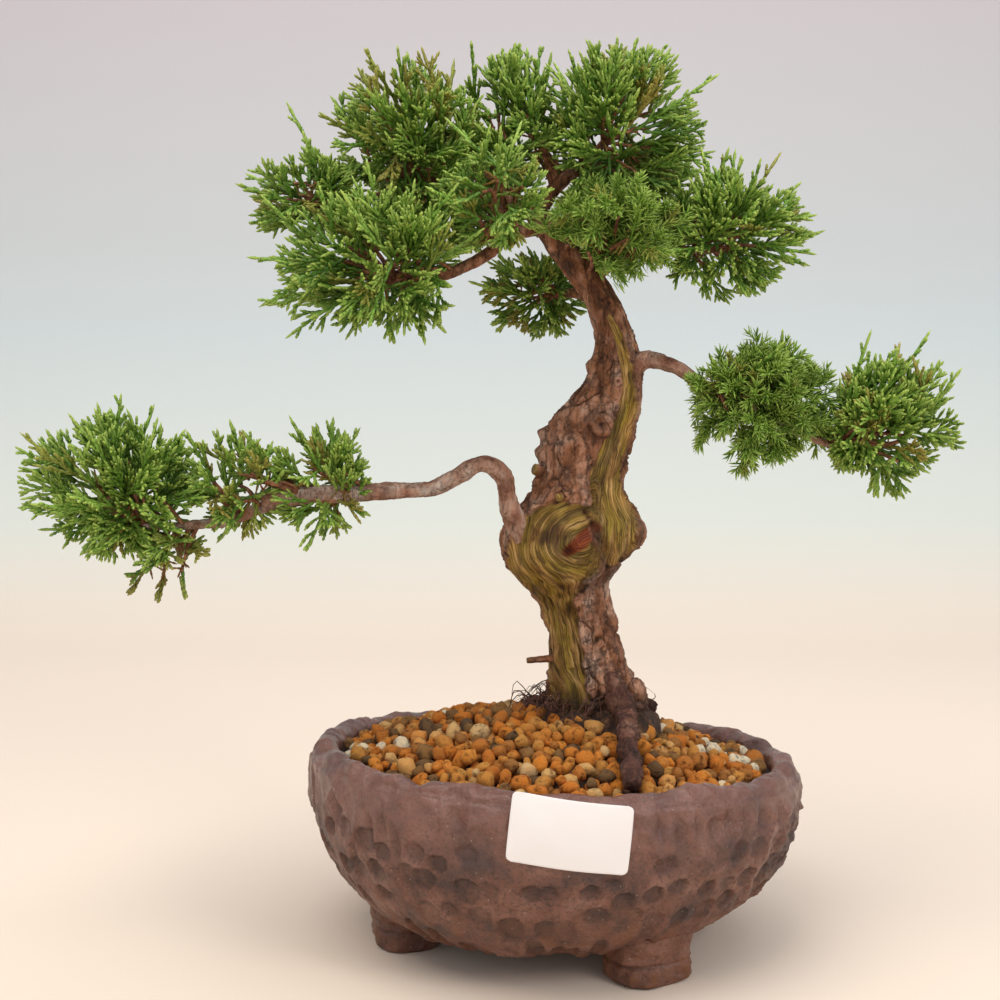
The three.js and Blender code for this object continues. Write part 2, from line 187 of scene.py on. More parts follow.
FOLIAGE = sorted(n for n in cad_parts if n.endswith("_foliage"))

# Strokes on the trunk's front, as x, height and half width.
DEADWOOD = (
    ((18.4, 149, 1), (21.4, 142.6, 1.5), (23.8, 134.2, 1.8), (25.4, 125.8, 2.2), (24.6, 117.4, 2.8), (21.8, 109, 3.4),
     (18, 100.5, 4.6), (16.4, 93.7, 5.4), (17.4, 86.9, 6.2), (20, 80.1, 7.6), (19.6, 71.6, 6.6)),
    ((10.6, 81.6, 3.6), (3.1, 81, 5.4), (-4.6, 76, 7.4), (-7.8, 68.2, 8), (-6.6, 59.6, 7.9), (-2, 51.8, 7),
     (1.5, 44.2, 6.4), (2.8, 35.6, 6.4), (3.9, 21.8, 6.4), (4.5, 10, 6.4)),
    ((1.4, 73.3, 10.1), (8.2, 66.5, 7.5), (4.8, 61.4, 7.2)),
)
WOUND = ((3.6, 69.6, 1.6), (8.2, 73, 2.9), (13.2, 77.4, 2.3))
WOUND_HOLE = (3.9, 69.9, 1.3)
CRACK = ((9.6, 83, 0.7), (12.6, 79.1, 1.2), (13.8, 75.4, 1.3), (15.7, 72.3, 1.3), (16.6, 67.9, 1.4), (17.4, 64.4, 1.6))
UNDER_LOBE = ((29, 66.5, 2.6), (22, 61.8, 3), (15.5, 58.5, 3.4), (9.5, 56, 2.4))
DEADWOOD_DIP = ((0, 52, 5), (2.5, 38, 5), (4, 20, 5.5))
RED_BARK = ((10.8, 105.6, 2), (8.3, 97.1, 2.6), (9.6, 90.3, 2))
BARE_TRUNK = ((-5, 171, 5), (5, 163, 7), (14, 152, 8), (18, 140, 8))  # foliage hangs clear of this part
# Round knots, as x, height and radius.
KNOTS = ((15.2, 112.4, 3.7), (21, 127.2, 1.6), (15.6, 135.4, 1.5), (18.4, 154.3, 1.6), (16.5, 140.5, 1.2), (12, 99, 1.2))
# Lumps on the trunk's outline, as x, height, radius and how far they stand out.
LUMPS = ((-3.4, 109.4, 2.2, 2.6), (-5, 102.2, 1.9, 2), (-6.5, 92.5, 2.4, 1.5), (12, 133.5, 2.2, 1.6), (-7, 42, 3, 1.2), (-4.5, 36, 2.2, 1.6), (30, 74, 5, 1.2))
# Stubs left by cut twigs: where they start, where they end and their radius.
STUBS = (
    ((1, -3, 95), (-7.2, -7.5, 97.2), 2),
    ((1.4, -10, 88), (1, -16.6, 88), 1.5),
    ((0, -4, 31), (-9.6, -6, 30.6), 1.1),
    ((27, -2, 137), (26.6, -4.2, 140.4), 1.4),
)
SWIRL_MIDDLE = (8.2, 73.0)
SWIRL_OPEN = math.radians(24)  # the direction in which the swirl's bends are open, from +X up


# ------------------------------------------------------------------ colours
def linear(text):
    """An sRGB hex colour as linear red, green and blue."""
    parts = [int(text[i : i + 2], 16) / 255 for i in (0, 2, 4)]
    return tuple(p / 12.92 if p <= 0.04045 else ((p + 0.055) / 1.055) ** 2.4 for p in parts)


def opaque(colour):
    """A linear colour with full alpha, from a hex text or a property."""
    return (*(linear(colour) if isinstance(colour, str) else colour), 1.0)


# ------------------------------------------------------------------ numbers for shapes
def smooth_step(low, high, value):
    """0 below low, 1 above high, and smooth in between. low may be the higher of the two."""
    share = np.clip((value - low) / (high - low), 0, 1)
    return share * share * (3 - 2 * share)


def scatter(cells, seed):
    """A repeatable random number from 0 to 1 for each row of three whole numbers."""
    n = (cells * np.array([73856093, 19349663, 83492791])).sum(-1) + seed * 40503
    n &= 0xFFFFFFFF
    n = ((n ^ (n >> 15)) * 2246822519) & 0xFFFFFFFF
    n = ((n ^ (n >> 13)) * 3266489917) & 0xFFFFFFFF
    return ((n ^ (n >> 16)) & 0xFFFFFF) / 0xFFFFFF


def smooth_noise(points, size, seed):
    """Smooth random values from -1 to 1, with hills about that size across."""
    place = np.asarray(points, float) / size
    low = np.floor(place).astype(np.int64)
    share = place - low
    share = share * share * (3 - 2 * share)
    total = 0
    for corner in np.ndindex(2, 2, 2):
        weight = np.prod(np.where(corner, share, 1 - share), axis=-1)
        total = total + weight * scatter(low + corner, seed)
    return 2 * total - 1


def rough_noise(points, size, seed, octaves=4):
    """Smooth noise with ever finer noise added, from about -1 to 1."""
    total, weight = 0, 0
    for octave in range(octaves):
        total = total + smooth_noise(points, size / 2**octave, seed + 7 * octave) / 2**octave
        weight += 1 / 2**octave
    return total / weight * 1.3


def cell_noise(points, size, seed):
    """Distances to the nearest and next cell middles, in sizes, and the nearest cell's own random number."""
    place = np.asarray(points, float) / size
    low = np.floor(place).astype(np.int64)
    nearest = np.full(len(place), 9.0)
    second = nearest.copy()
    own = np.zeros(len(place))
    for step in np.ndindex(3, 3, 3):
        cell = low + np.array(step) - 1
        middle = cell + np.stack([scatter(cell, seed + k) for k in range(3)], -1)
        distance = np.linalg.norm(place - middle, axis=-1)
        nearer = distance < nearest
        second = np.where(nearer, nearest, np.minimum(second, distance))
        own = np.where(nearer, scatter(cell, seed + 3), own)
        nearest = np.where(nearer, distance, nearest)
    return nearest, second, own


def flakes(points, size, seed, levels):
    """Thin layers that overlap, as in flaking bark: their height in levels, and how near each edge is."""
    rise = levels * (0.5 + 0.5 * rough_noise(points, size, seed, 4))
    share = rise - np.floor(rise)
    return np.floor(rise) + smooth_step(0, 0.14, share), np.exp(-((np.minimum(share, 1 - share + 0.1) / 0.07) ** 2))


def smooth_path(rows, count):
    """Rows spaced evenly along a smooth line through the given rows, whose first three values are places."""
    p = np.asarray(rows, float)
    p = np.vstack([2 * p[0] - p[1], p, 2 * p[-1] - p[-2]])
    t = np.linspace(0, len(p) - 3 - 1e-9, 12 * count)
    i = t.astype(int)
    f = (t - i)[:, None]
    a, b, c, d = p[i], p[i + 1], p[i + 2], p[i + 3]
    line = 0.5 * (2 * b + (c - a) * f + (2 * a - 5 * b + 4 * c - d) * f**2 + (3 * b - a - 3 * c + d) * f**3)
    length = np.r_[0, np.cumsum(np.linalg.norm(np.diff(line[:, :3], axis=0), axis=1))]
    even = np.linspace(0, length[-1], count)
    return np.stack([np.interp(even, length, line[:, k]) for k in range(line.shape[1])], 1)


def unit(vectors):
    """The vectors, or the one vector, at length 1."""
    v = np.asarray(vectors, float)
    return v / np.maximum(np.linalg.norm(v, axis=-1, keepdims=True), 1e-9)


def across_line(line):
    """Two directions across a line at each of its points, with no twist along it."""
    ahead = unit(np.gradient(line, axis=0))
    side = np.empty_like(line)
    side[0] = unit(np.cross(ahead[0], (0.31, 0.2, 0.93)))
    for i in range(1, len(line)):
        side[i] = unit(side[i - 1] - side[i - 1] @ ahead[i] * ahead[i])
    return side, np.cross(ahead, side)


def stroke(x, height, path):
    """How far each point of the trunk's front is from a stroke's middle line, in half widths."""
    nearest = np.full(x.shape, 99.0)
    path = np.asarray(path, float)
    for (x0, z0, w0), (x1, z1, w1) in zip(path[:-1], path[1:]):
        dx, dz = x1 - x0, z1 - z0
        share = np.clip(((x - x0) * dx + (height - z0) * dz) / (dx * dx + dz * dz), 0, 1)
        distance = np.hypot(x - x0 - share * dx, height - z0 - share * dz)
        nearest = np.minimum(nearest, distance / (w0 + share * (w1 - w0)))
    return nearest


# ------------------------------------------------------------------ meshes
class Skin:
    """Corners, faces and named values of a mesh that is put together from rings."""

    def __init__(self):
        self.corners, self.faces, self.values, self.count = [], [], {}, 0

    def add(self, corners, faces, values):
        self.faces.extend([tuple(i + self.count for i in face) for face in faces])
        self.corners.append(corners)
        for name, value in values.items():
            self.values.setdefault(name, []).append(np.broadcast_to(value, len(corners)))
        self.count += len(corners)

    def add_rings(self, rings, values, wrap=False):
        """Rings of corners, each going round counter-clockwise as seen from the last. The ends are closed, or meet."""
        rows, columns = rings.shape[:2]
        index = np.arange(rows * columns).reshape(rows, columns)
        if wrap:
            index = np.vstack([index, index[:1]])
        low, high = index[:-1], index[1:]
        quads = np.stack([low, np.roll(low, -1, 1), np.roll(high, -1, 1), high], -1).reshape(-1, 4).tolist()
        corners = rings.reshape(-1, 3)
        values = {k: np.broadcast_to(v, (rows, columns)).reshape(-1) for k, v in values.items()}
        if not wrap:
            ends = np.array([rings[0].mean(0), rings[-1].mean(0)])
            first, last = rows * columns, rows * columns + 1
            nxt = np.roll(np.arange(columns), -1)
            quads += [(first, int(nxt[c]), c) for c in range(columns)]
            top = (rows - 1) * columns
            quads += [(last, top + c, top + int(nxt[c])) for c in range(columns)]
            corners = np.vstack([corners, ends])
            values = {k: np.r_[v, v[0], v[-1]] for k, v in values.items()}
        self.add(corners, quads, values)

    def piece(self, name):
        """The mesh as an object in the row frame, in metres."""
        mesh = bpy.data.meshes.new(name)
        corners = np.vstack(self.corners) * MM + AXIS
        mesh.from_pydata(corners.tolist(), [], self.faces)
        for key, parts in self.values.items():
            attribute = mesh.attributes.new(key, "FLOAT", "POINT")
            attribute.data.foreach_set("value", np.concatenate(parts).astype(np.float32))
        mesh.shade_smooth()
        mesh.update()
        piece = bpy.data.objects.new(name, mesh)
        bpy.context.scene.collection.objects.link(piece)
        return piece


def hand_over(piece, material, slot, *nodes):
    """Gives a finished piece its material, and ties it to the frame in place of its CAD nodes."""
    piece.data.materials.clear()
    piece.data.materials.append(material)
    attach(piece, "root")
    if nodes:
        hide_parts(*nodes)
    return piece


def hand_formed(points):
    """The slight unevenness of the bowl and of all that fits it."""
    p = np.array(points, float)
    angle = np.arctan2(p[..., 1], p[..., 0])
    outward = np.hypot(p[..., 0], p[..., 1]) / BOWL_RADIUS
    swell = 1 + 0.01 * np.sin(2 * angle + 0.6) + 0.006 * np.sin(3 * angle + 2)
    share = smooth_step(INNER_FLOOR, LIP, p[..., 2])
    slope = LIP_SLOPE * np.cos(angle - LIP_HIGH_AT)
    p[..., :2] *= swell[..., None]
    p[..., 2] += share * outward * (slope + LIP_WAVE * np.sin(5 * angle))
    return p


def wall_radius(height):
    """The outside of the bowl's wall."""
    rise = np.clip((height - WIDEST_AT) / BOWL_SHOULDER, 0, None)
    drop = np.clip((WIDEST_AT - height) / (WIDEST_AT - UNDERSIDE), 0, 1)
    return BASE_RADIUS + (BOWL_RADIUS - BASE_RADIUS) * np.sqrt(1 - drop**2) - LIP_LEAN * rise**2


def hollow_radius(height):
    """The inside of the bowl's wall."""
    drop = np.clip((LIP - height) / (LIP - INNER_FLOOR), 0, 1)
    return FLOOR_RADIUS + (INNER_RADIUS - FLOOR_RADIUS) * np.sqrt(1 - drop**3)


def mound_height(x, y):
    """The height of the soil's surface above the table."""
    out = np.hypot(x, y)
    share = np.clip(1 - out / (INNER_RADIUS - SOIL_MARGIN), 0, 1)
    level = HOLLOW_TOP + 0.5 + SOIL_MOUND * np.sin(share * math.pi / 2)
    slope = LIP_SLOPE * np.cos(np.arctan2(y, x) - LIP_HIGH_AT) * out / BOWL_RADIUS
    return level + slope


def trunk_section(height):
    """The trunk's middle x and y, half width and half depth at heights from the lip."""
    line = smooth_path(np.array(TRUNK)[:, [0, 1, 2, 3, 4]], 400)
    return [np.interp(height, line[:, 0], line[:, k]) for k in range(1, 5)]


def tube(skin, rows, count, sides, relief, seed, kind=0.0, hollow_end=False, cut_end=False):
    """A branch, root or twig through rows of x, y, height and radius, with uneven bark."""
    path = np.array(rows, float)
    path[:, 2] += LIP
    line = smooth_path(path, count)
    middle, radius = line[:, :3], line[:, 3]
    side, other = across_line(middle)
    turn = np.linspace(0, 2 * math.pi, sides, endpoint=False)
    out = np.cos(turn)[None, :, None] * side[:, None] + np.sin(turn)[None, :, None] * other[:, None]
    base = middle[:, None] + out * radius[:, None, None]
    flat = base.reshape(-1, 3)
    length = np.r_[0, np.cumsum(np.linalg.norm(np.diff(middle, axis=0), axis=1))]
    drawn = np.stack(np.broadcast_arrays(turn[None, :] * 0 + 0.45 * length[:, None], 2.4 * np.cos(turn)[None, :], 2.4 * np.sin(turn)[None, :]), -1)
    coarse = rough_noise(drawn.reshape(-1, 3), 4, seed, 3).reshape(count, sides)
    layer, edge = (v.reshape(count, sides) for v in flakes(drawn.reshape(-1, 3), 3.6, seed + 2, 8))
    own = 0.5 + 0.5 * smooth_noise(drawn.reshape(-1, 3) + layer.reshape(-1, 1), 2.4, seed + 5).reshape(count, sides)
    crack = edge * smooth_step(-0.2, 0.5, rough_noise(flat, 4, seed + 6, 2)).reshape(count, sides)
    fine = rough_noise(flat, 1.6, seed + 9, 2).reshape(count, sides)
    lift = relief * (1.1 * coarse + 0.4 * fine + 0.4 * (layer - 4) - 0.4 * crack)
    lift *= np.clip(radius / 3, 0.15, 1)[:, None]
    rings = base + out * lift[..., None]
    along = np.linspace(0, 1, count)[:, None] * np.ones(sides)
    # Painted shade: cracks between flakes and low spots of the bark are darkened, and a hollow end fully.
    values = {
        "crevice": np.clip(0.75 * crack + 0.45 * np.clip(-coarse, 0, 1), 0, 1),
        "plate": own,
        "deadwood": np.zeros((count, sides)),
        "wound": np.zeros((count, sides)),
        "across": turn[None, :] * radius[:, None],
        "along": along * np.linalg.norm(np.diff(middle, axis=0), axis=1).sum(),
        "kind": np.full((count, sides), kind),
    }
    if cut_end:
        values["deadwood"][-1] = 1
    if hollow_end:
        ahead = unit(middle[-1] - middle[-2])
        inner = middle[-1] + (rings[-1] - middle[-1]) * 0.62 + ahead * 0.3
        deep = middle[-1] + (rings[-1] - middle[-1]) * 0.5 - ahead * 3.2
        rings = np.concatenate([rings, inner[None], deep[None]])
        values = {k: np.vstack([v, v[-1:], v[-1:]]) for k, v in values.items()}
        values["crevice"][-2:] = 1
    skin.add_rings(rings, values)


# ------------------------------------------------------------------ node trees
def add_node(tree, kind, settings=None, inputs=None, stops=None):
    """Adds a node, and sets its properties, its inputs (values or links) and its ramp's stops."""
    node = tree.nodes.new(kind)
    for key, value in (settings or {}).items():
        setattr(node, key, value)
    for key, value in (inputs or {}).items():
        if isinstance(value, bpy.types.NodeSocket):
            tree.links.new(value, node.inputs[key])
        else:
            node.inputs[key].default_value = value
    if stops:
        ramp = node.color_ramp.elements
        while len(ramp) < len(stops):
            ramp.new(0.5)
        for element, (position, colour) in zip(ramp, stops):
            element.position = position
            element.color = opaque(colour)
    return node


def new_material(name):
    """An empty material with its tree and its shader."""
    material = bpy.data.materials.new(name)
    material.use_nodes = True
    tree = material.node_tree
    return material, tree, tree.nodes["Principled BSDF"]


MIX_FACTOR, MIX_A, MIX_B, MIX_RESULT = 0, 6, 7, 2  # a Mix node's sockets for colours


def mix_colours(blend="MIX"):
    """The settings of a Mix node that mixes colours."""
    return {"data_type": "RGBA", "blend_type": blend}


def per_mm(size):
    """A texture's scale for features of that size in mm, on coordinates in metres."""
    return 1 / (size * MM)


def stoneware(colours):
    """Unglazed iron-rich stoneware, pinched and pressed by hand: matt in the hollows, faintly polished where rubbed.
    Painted shade darkens the dents, and the upper band is lightened partly as painted sheen.
    """
    material, tree, shader = new_material("Unglazed stoneware")
    place = add_node(tree, "ShaderNodeTexCoord").outputs["Object"]
    mottle = add_node(tree, "ShaderNodeTexNoise", None, {"Vector": place, "Scale": per_mm(17), "Detail": 5.0, "Roughness": 0.62})
    body = add_node(tree, "ShaderNodeValToRGB", None, {"Fac": mottle.outputs["Fac"]},
                    ((0.36, colours.clay_dark), (0.5, colours.clay), (0.64, colours.clay_light)))
    grit = add_node(tree, "ShaderNodeTexNoise", None, {"Vector": place, "Scale": per_mm(1.1), "Detail": 3.0, "Roughness": 0.7})
    speck = add_node(tree, "ShaderNodeValToRGB", None, {"Fac": grit.outputs["Fac"]}, ((0.34, "7d716d"), (0.5, "ffffff"), (0.72, "fff0e6")))
    speckled = add_node(tree, "ShaderNodeMix", mix_colours("MULTIPLY"), {MIX_FACTOR: 0.75, MIX_A: body.outputs["Color"], MIX_B: speck.outputs["Color"]})
    # Painted shade: the dents' floors and undercut upper edges, the finger marks, the pressed-in facets and the feet's
    # seam groove are darkened towards 2c211f.
    dent = add_node(tree, "ShaderNodeAttribute", {"attribute_name": "dent"}).outputs["Fac"]
    shaded = add_node(tree, "ShaderNodeMix", mix_colours("MULTIPLY"), {MIX_FACTOR: dent, MIX_A: speckled.outputs[MIX_RESULT], MIX_B: opaque("2c211f")})
    dusty = add_node(tree, "ShaderNodeAttribute", {"attribute_name": "dust"}).outputs["Fac"]
    dusted = add_node(tree, "ShaderNodeMix", mix_colours(), {MIX_FACTOR: dusty, MIX_A: shaded.outputs[MIX_RESULT], MIX_B: opaque(colours.dust)})
    # The upper band is mixed towards a lighter clay: partly the rubbed clay, partly painted sheen.
    height = add_node(tree, "ShaderNodeSeparateXYZ", None, {"Vector": place}).outputs["Z"]
    upper = add_node(tree, "ShaderNodeMapRange", None, {"Value": height, "From Min": 40 * MM, "From Max": 62 * MM, "To Max": 0.42})
    dusted = add_node(tree, "ShaderNodeMix", mix_colours(), {MIX_FACTOR: upper.outputs["Result"], MIX_A: dusted.outputs[MIX_RESULT], MIX_B: opaque(colours.clay_top)})
    lime = add_node(tree, "ShaderNodeTexVoronoi", None, {"Vector": place, "Scale": per_mm(3.1)})
    fleck = add_node(tree, "ShaderNodeMapRange", None, {"Value": lime.outputs["Distance"], "From Min": 0.1, "From Max": 0.05, "To Max": 0.6})
    flecked = add_node(tree, "ShaderNodeMix", mix_colours(), {MIX_FACTOR: fleck.outputs["Result"], MIX_A: dusted.outputs[MIX_RESULT], MIX_B: opaque("b09a88")})
    tree.links.new(flecked.outputs[MIX_RESULT], shader.inputs["Base Color"])
    sheen = add_node(tree, "ShaderNodeMapRange", None, {"Value": mottle.outputs["Fac"], "From Min": 0.3, "From Max": 0.7, "To Min": 0.56, "To Max": 0.36})
    rubbed = add_node(tree, "ShaderNodeMath", {"operation": "MULTIPLY_ADD"}, {0: upper.outputs["Result"], 1: -0.36, 2: sheen.outputs["Result"]})
    tree.links.new(rubbed.outputs[0], shader.inputs["Roughness"])
    pinched = add_node(tree, "ShaderNodeTexVoronoi", {"feature": "SMOOTH_F1"}, {"Vector": place, "Scale": per_mm(8), "Smoothness": 0.25})
    pinched = add_node(tree, "ShaderNodeMath", {"operation": "MULTIPLY"}, {0: pinched.outputs["Distance"], 1: upper.outputs["Result"]})
    facets = add_node(tree, "ShaderNodeBump", None, {"Height": pinched.outputs[0], "Strength": 1.0, "Distance": 7 * MM})
    skin = add_node(tree, "ShaderNodeTexNoise", None, {"Vector": place, "Scale": per_mm(3.2), "Detail": 6.0, "Roughness": 0.6})
    rough = add_node(tree, "ShaderNodeBump", None, {"Height": skin.outputs["Fac"], "Strength": 0.9, "Distance": 0.9 * MM, "Normal": facets.outputs["Normal"]})
    fine = add_node(tree, "ShaderNodeBump", None, {"Height": grit.outputs["Fac"], "Strength": 0.8, "Distance": 0.3 * MM, "Normal": rough.outputs["Normal"]})
    tree.links.new(fine.outputs["Normal"], shader.inputs["Normal"])
    return material


def fired_granules(colours):
    """Baked clay granules with some pumice: porous and quite matt, each its own colour."""
    material, tree, shader = new_material("Baked clay granules")
    place = add_node(tree, "ShaderNodeTexCoord").outputs["Object"]
    tone = add_node(tree, "ShaderNodeAttribute", {"attribute_name": "tone"}).outputs["Fac"]
    own = add_node(tree, "ShaderNodeValToRGB", None, {"Fac": tone},
                   ((0.0, "54432f"), (0.05, "75593b"), (0.14, "8f6b40"), (0.26, colours.clay_brown), (0.4, "ca7b31"), (0.52, colours.clay_orange),
                    (0.66, "c9934c"), (0.78, "e08a31"), (0.9, "dcb070"), (0.955, "d9b98a"), (0.975, colours.pumice)))
    patchy = add_node(tree, "ShaderNodeTexNoise", None, {"Vector": place, "Scale": per_mm(2.6), "Detail": 5.0, "Roughness": 0.65})
    shade = add_node(tree, "ShaderNodeValToRGB", None, {"Fac": patchy.outputs["Fac"]}, ((0.34, "6e4d33"), (0.48, "ffffff"), (0.72, "ffe0b4")))
    mixed = add_node(tree, "ShaderNodeMix", mix_colours("MULTIPLY"), {MIX_FACTOR: 0.8, MIX_A: own.outputs["Color"], MIX_B: shade.outputs["Color"]})
    tree.links.new(mixed.outputs[MIX_RESULT], shader.inputs["Base Color"])
    shader.inputs["Roughness"].default_value = 0.92
    shader.inputs["Specular IOR Level"].default_value = 0.25
    pores = add_node(tree, "ShaderNodeTexNoise", None, {"Vector": place, "Scale": per_mm(1.3), "Detail": 5.0, "Roughness": 0.75})
    bump = add_node(tree, "ShaderNodeBump", None, {"Height": pores.outputs["Fac"], "Strength": 1.0, "Distance": 1.0 * MM})
    tree.links.new(bump.outputs["Normal"], shader.inputs["Normal"])
    return material


def old_soil():
    """Dark, damp, peaty soil held together by dead fine roots."""
    material, tree, shader = new_material("Peaty soil")
    place = add_node(tree, "ShaderNodeTexCoord").outputs["Object"]
    crumbs = add_node(tree, "ShaderNodeTexNoise", None, {"Vector": place, "Scale": per_mm(2.2), "Detail": 6.0, "Roughness": 0.7})
    body = add_node(tree, "ShaderNodeValToRGB", None, {"Fac": crumbs.outputs["Fac"]}, ((0.3, "1a0f09"), (0.48, "39251a"), (0.62, "65452e"), (0.76, "8a6542")))
    tree.links.new(body.outputs["Color"], shader.inputs["Base Color"])
    shader.inputs["Roughness"].default_value = 0.9
    bump = add_node(tree, "ShaderNodeBump", None, {"Height": crumbs.outputs["Fac"], "Strength": 1.0, "Distance": 1.0 * MM})
    tree.links.new(bump.outputs["Normal"], shader.inputs["Normal"])
    return material


def juniper_wood(colours):
    """Old juniper: flaking pinkish bark in plates, and bare weathered wood whose fibres run with its twist."""
    material, tree, shader = new_material("Juniper bark and deadwood")
    place = add_node(tree, "ShaderNodeTexCoord").outputs["Object"]
    plate = add_node(tree, "ShaderNodeAttribute", {"attribute_name": "plate"}).outputs["Fac"]
    crevice = add_node(tree, "ShaderNodeAttribute", {"attribute_name": "crevice"}).outputs["Fac"]
    deadwood = add_node(tree, "ShaderNodeAttribute", {"attribute_name": "deadwood"}).outputs["Fac"]
    wound = add_node(tree, "ShaderNodeAttribute", {"attribute_name": "wound"}).outputs["Fac"]
    across = add_node(tree, "ShaderNodeAttribute", {"attribute_name": "across"}).outputs["Fac"]
    along = add_node(tree, "ShaderNodeAttribute", {"attribute_name": "along"}).outputs["Fac"]
    kind = add_node(tree, "ShaderNodeAttribute", {"attribute_name": "kind"}).outputs["Fac"]

    # Bark: each plate its own tone, streaked lengthwise, with young branches greyer and pinker.
    stretch = add_node(tree, "ShaderNodeMapping", None, {"Vector": place, "Scale": (1.0, 1.0, 0.28)})
    streaks = add_node(tree, "ShaderNodeTexNoise", None, {"Vector": stretch.outputs["Vector"], "Scale": per_mm(1.3), "Detail": 6.0, "Roughness": 0.65})
    patches = add_node(tree, "ShaderNodeTexNoise", None, {"Vector": place, "Scale": per_mm(7), "Detail": 3.0})
    tone = add_node(tree, "ShaderNodeMath", {"operation": "MULTIPLY_ADD"}, {0: plate, 1: 0.35, 2: patches.outputs["Fac"]})
    old_bark = add_node(tree, "ShaderNodeValToRGB", None, {"Fac": tone.outputs[0]},
                        ((0.42, colours.bark_dark), (0.62, colours.bark), (0.8, colours.bark_pink), (0.95, colours.bark_light)))
    young_bark = add_node(tree, "ShaderNodeValToRGB", None, {"Fac": tone.outputs[0]},
                          ((0.38, "8a5a45"), (0.55, "ad7f68"), (0.72, "cba691"), (0.9, "e6d3c6")))
    root_bark = add_node(tree, "ShaderNodeValToRGB", None, {"Fac": tone.outputs[0]},
                         ((0.3, "261510"), (0.5, "523026"), (0.75, "7d5242"), (0.95, "a67f6a")))
    is_young = add_node(tree, "ShaderNodeMath", {"operation": "COMPARE"}, {0: kind, 1: 1.0, 2: 0.3})
    is_root = add_node(tree, "ShaderNodeMath", {"operation": "COMPARE"}, {0: kind, 1: 2.0, 2: 0.3})
    bark = add_node(tree, "ShaderNodeMix", mix_colours(), {MIX_FACTOR: is_young.outputs[0], MIX_A: old_bark.outputs["Color"], MIX_B: young_bark.outputs["Color"]})
    bark = add_node(tree, "ShaderNodeMix", mix_colours(), {MIX_FACTOR: is_root.outputs[0], MIX_A: bark.outputs[MIX_RESULT], MIX_B: root_bark.outputs["Color"]})
    streak_tone = add_node(tree, "ShaderNodeValToRGB", None, {"Fac": streaks.outputs["Fac"]}, ((0.3, "6a5248"), (0.5, "ffffff"), (0.75, "fff0e4")))
    bark = add_node(tree, "ShaderNodeMix", mix_colours("MULTIPLY"), {MIX_FACTOR: 0.8, MIX_A: bark.outputs[MIX_RESULT], MIX_B: streak_tone.outputs["Color"]})
    wander = add_node(tree, "ShaderNodeTexNoise", None, {"Vector": place, "Scale": per_mm(4), "Detail": 4.0, "Roughness": 0.6})
    wandered = add_node(tree, "ShaderNodeVectorMath", {"operation": "MULTIPLY_ADD"}, {0: wander.outputs["Color"], 1: (0.005, 0.005, 0.003), 2: stretch.outputs["Vector"]})
    fissures = add_node(tree, "ShaderNodeTexVoronoi", {"feature": "DISTANCE_TO_EDGE"}, {"Vector": wandered.outputs["Vector"], "Scale": per_mm(4.6)})
    flake = add_node(tree, "ShaderNodeTexVoronoi", None, {"Vector": wandered.outputs["Vector"], "Scale": per_mm(4.6)})
    flake_tone = add_node(tree, "ShaderNodeMapRange", None, {"Value": add_node(tree, "ShaderNodeSeparateColor", None, {"Color": flake.outputs["Color"]}).outputs[0], "To Max": 0.55})
    bark = add_node(tree, "ShaderNodeMix", mix_colours("MULTIPLY"), {MIX_FACTOR: flake_tone.outputs["Result"], MIX_A: bark.outputs[MIX_RESULT], MIX_B: opaque("8c7467")})
    where = add_node(tree, "ShaderNodeMapRange", None, {"Value": patches.outputs["Fac"], "From Min": 0.4, "From Max": 0.56, "To Min": 0.25, "To Max": 0.95})
    fissure = add_node(tree, "ShaderNodeMapRange", None, {"Value": fissures.outputs["Distance"], "From Min": 0.01, "From Max": 0.15, "To Min": 0.85, "To Max": 0.0})
    where = add_node(tree, "ShaderNodeMath", {"operation": "MULTIPLY_ADD"}, {0: is_young.outputs[0], 1: -0.6, 2: where.outputs["Result"]})
    where = add_node(tree, "ShaderNodeMath", {"operation": "MAXIMUM"}, {0: where.outputs[0], 1: 0.0})
    deep = add_node(tree, "ShaderNodeMath", {"operation": "MULTIPLY"}, {0: fissure.outputs["Result"], 1: where.outputs[0]})
    deep = add_node(tree, "ShaderNodeMath", {"operation": "MAXIMUM"}, {0: deep.outputs[0], 1: crevice})
    # Painted shade: the fissures between flakes, and the crevices given by the mesh, are darkened towards 2c1a11.
    bark = add_node(tree, "ShaderNodeMix", mix_colours(), {MIX_FACTOR: deep.outputs[0], MIX_A: bark.outputs[MIX_RESULT], MIX_B: opaque("2c1a11")})

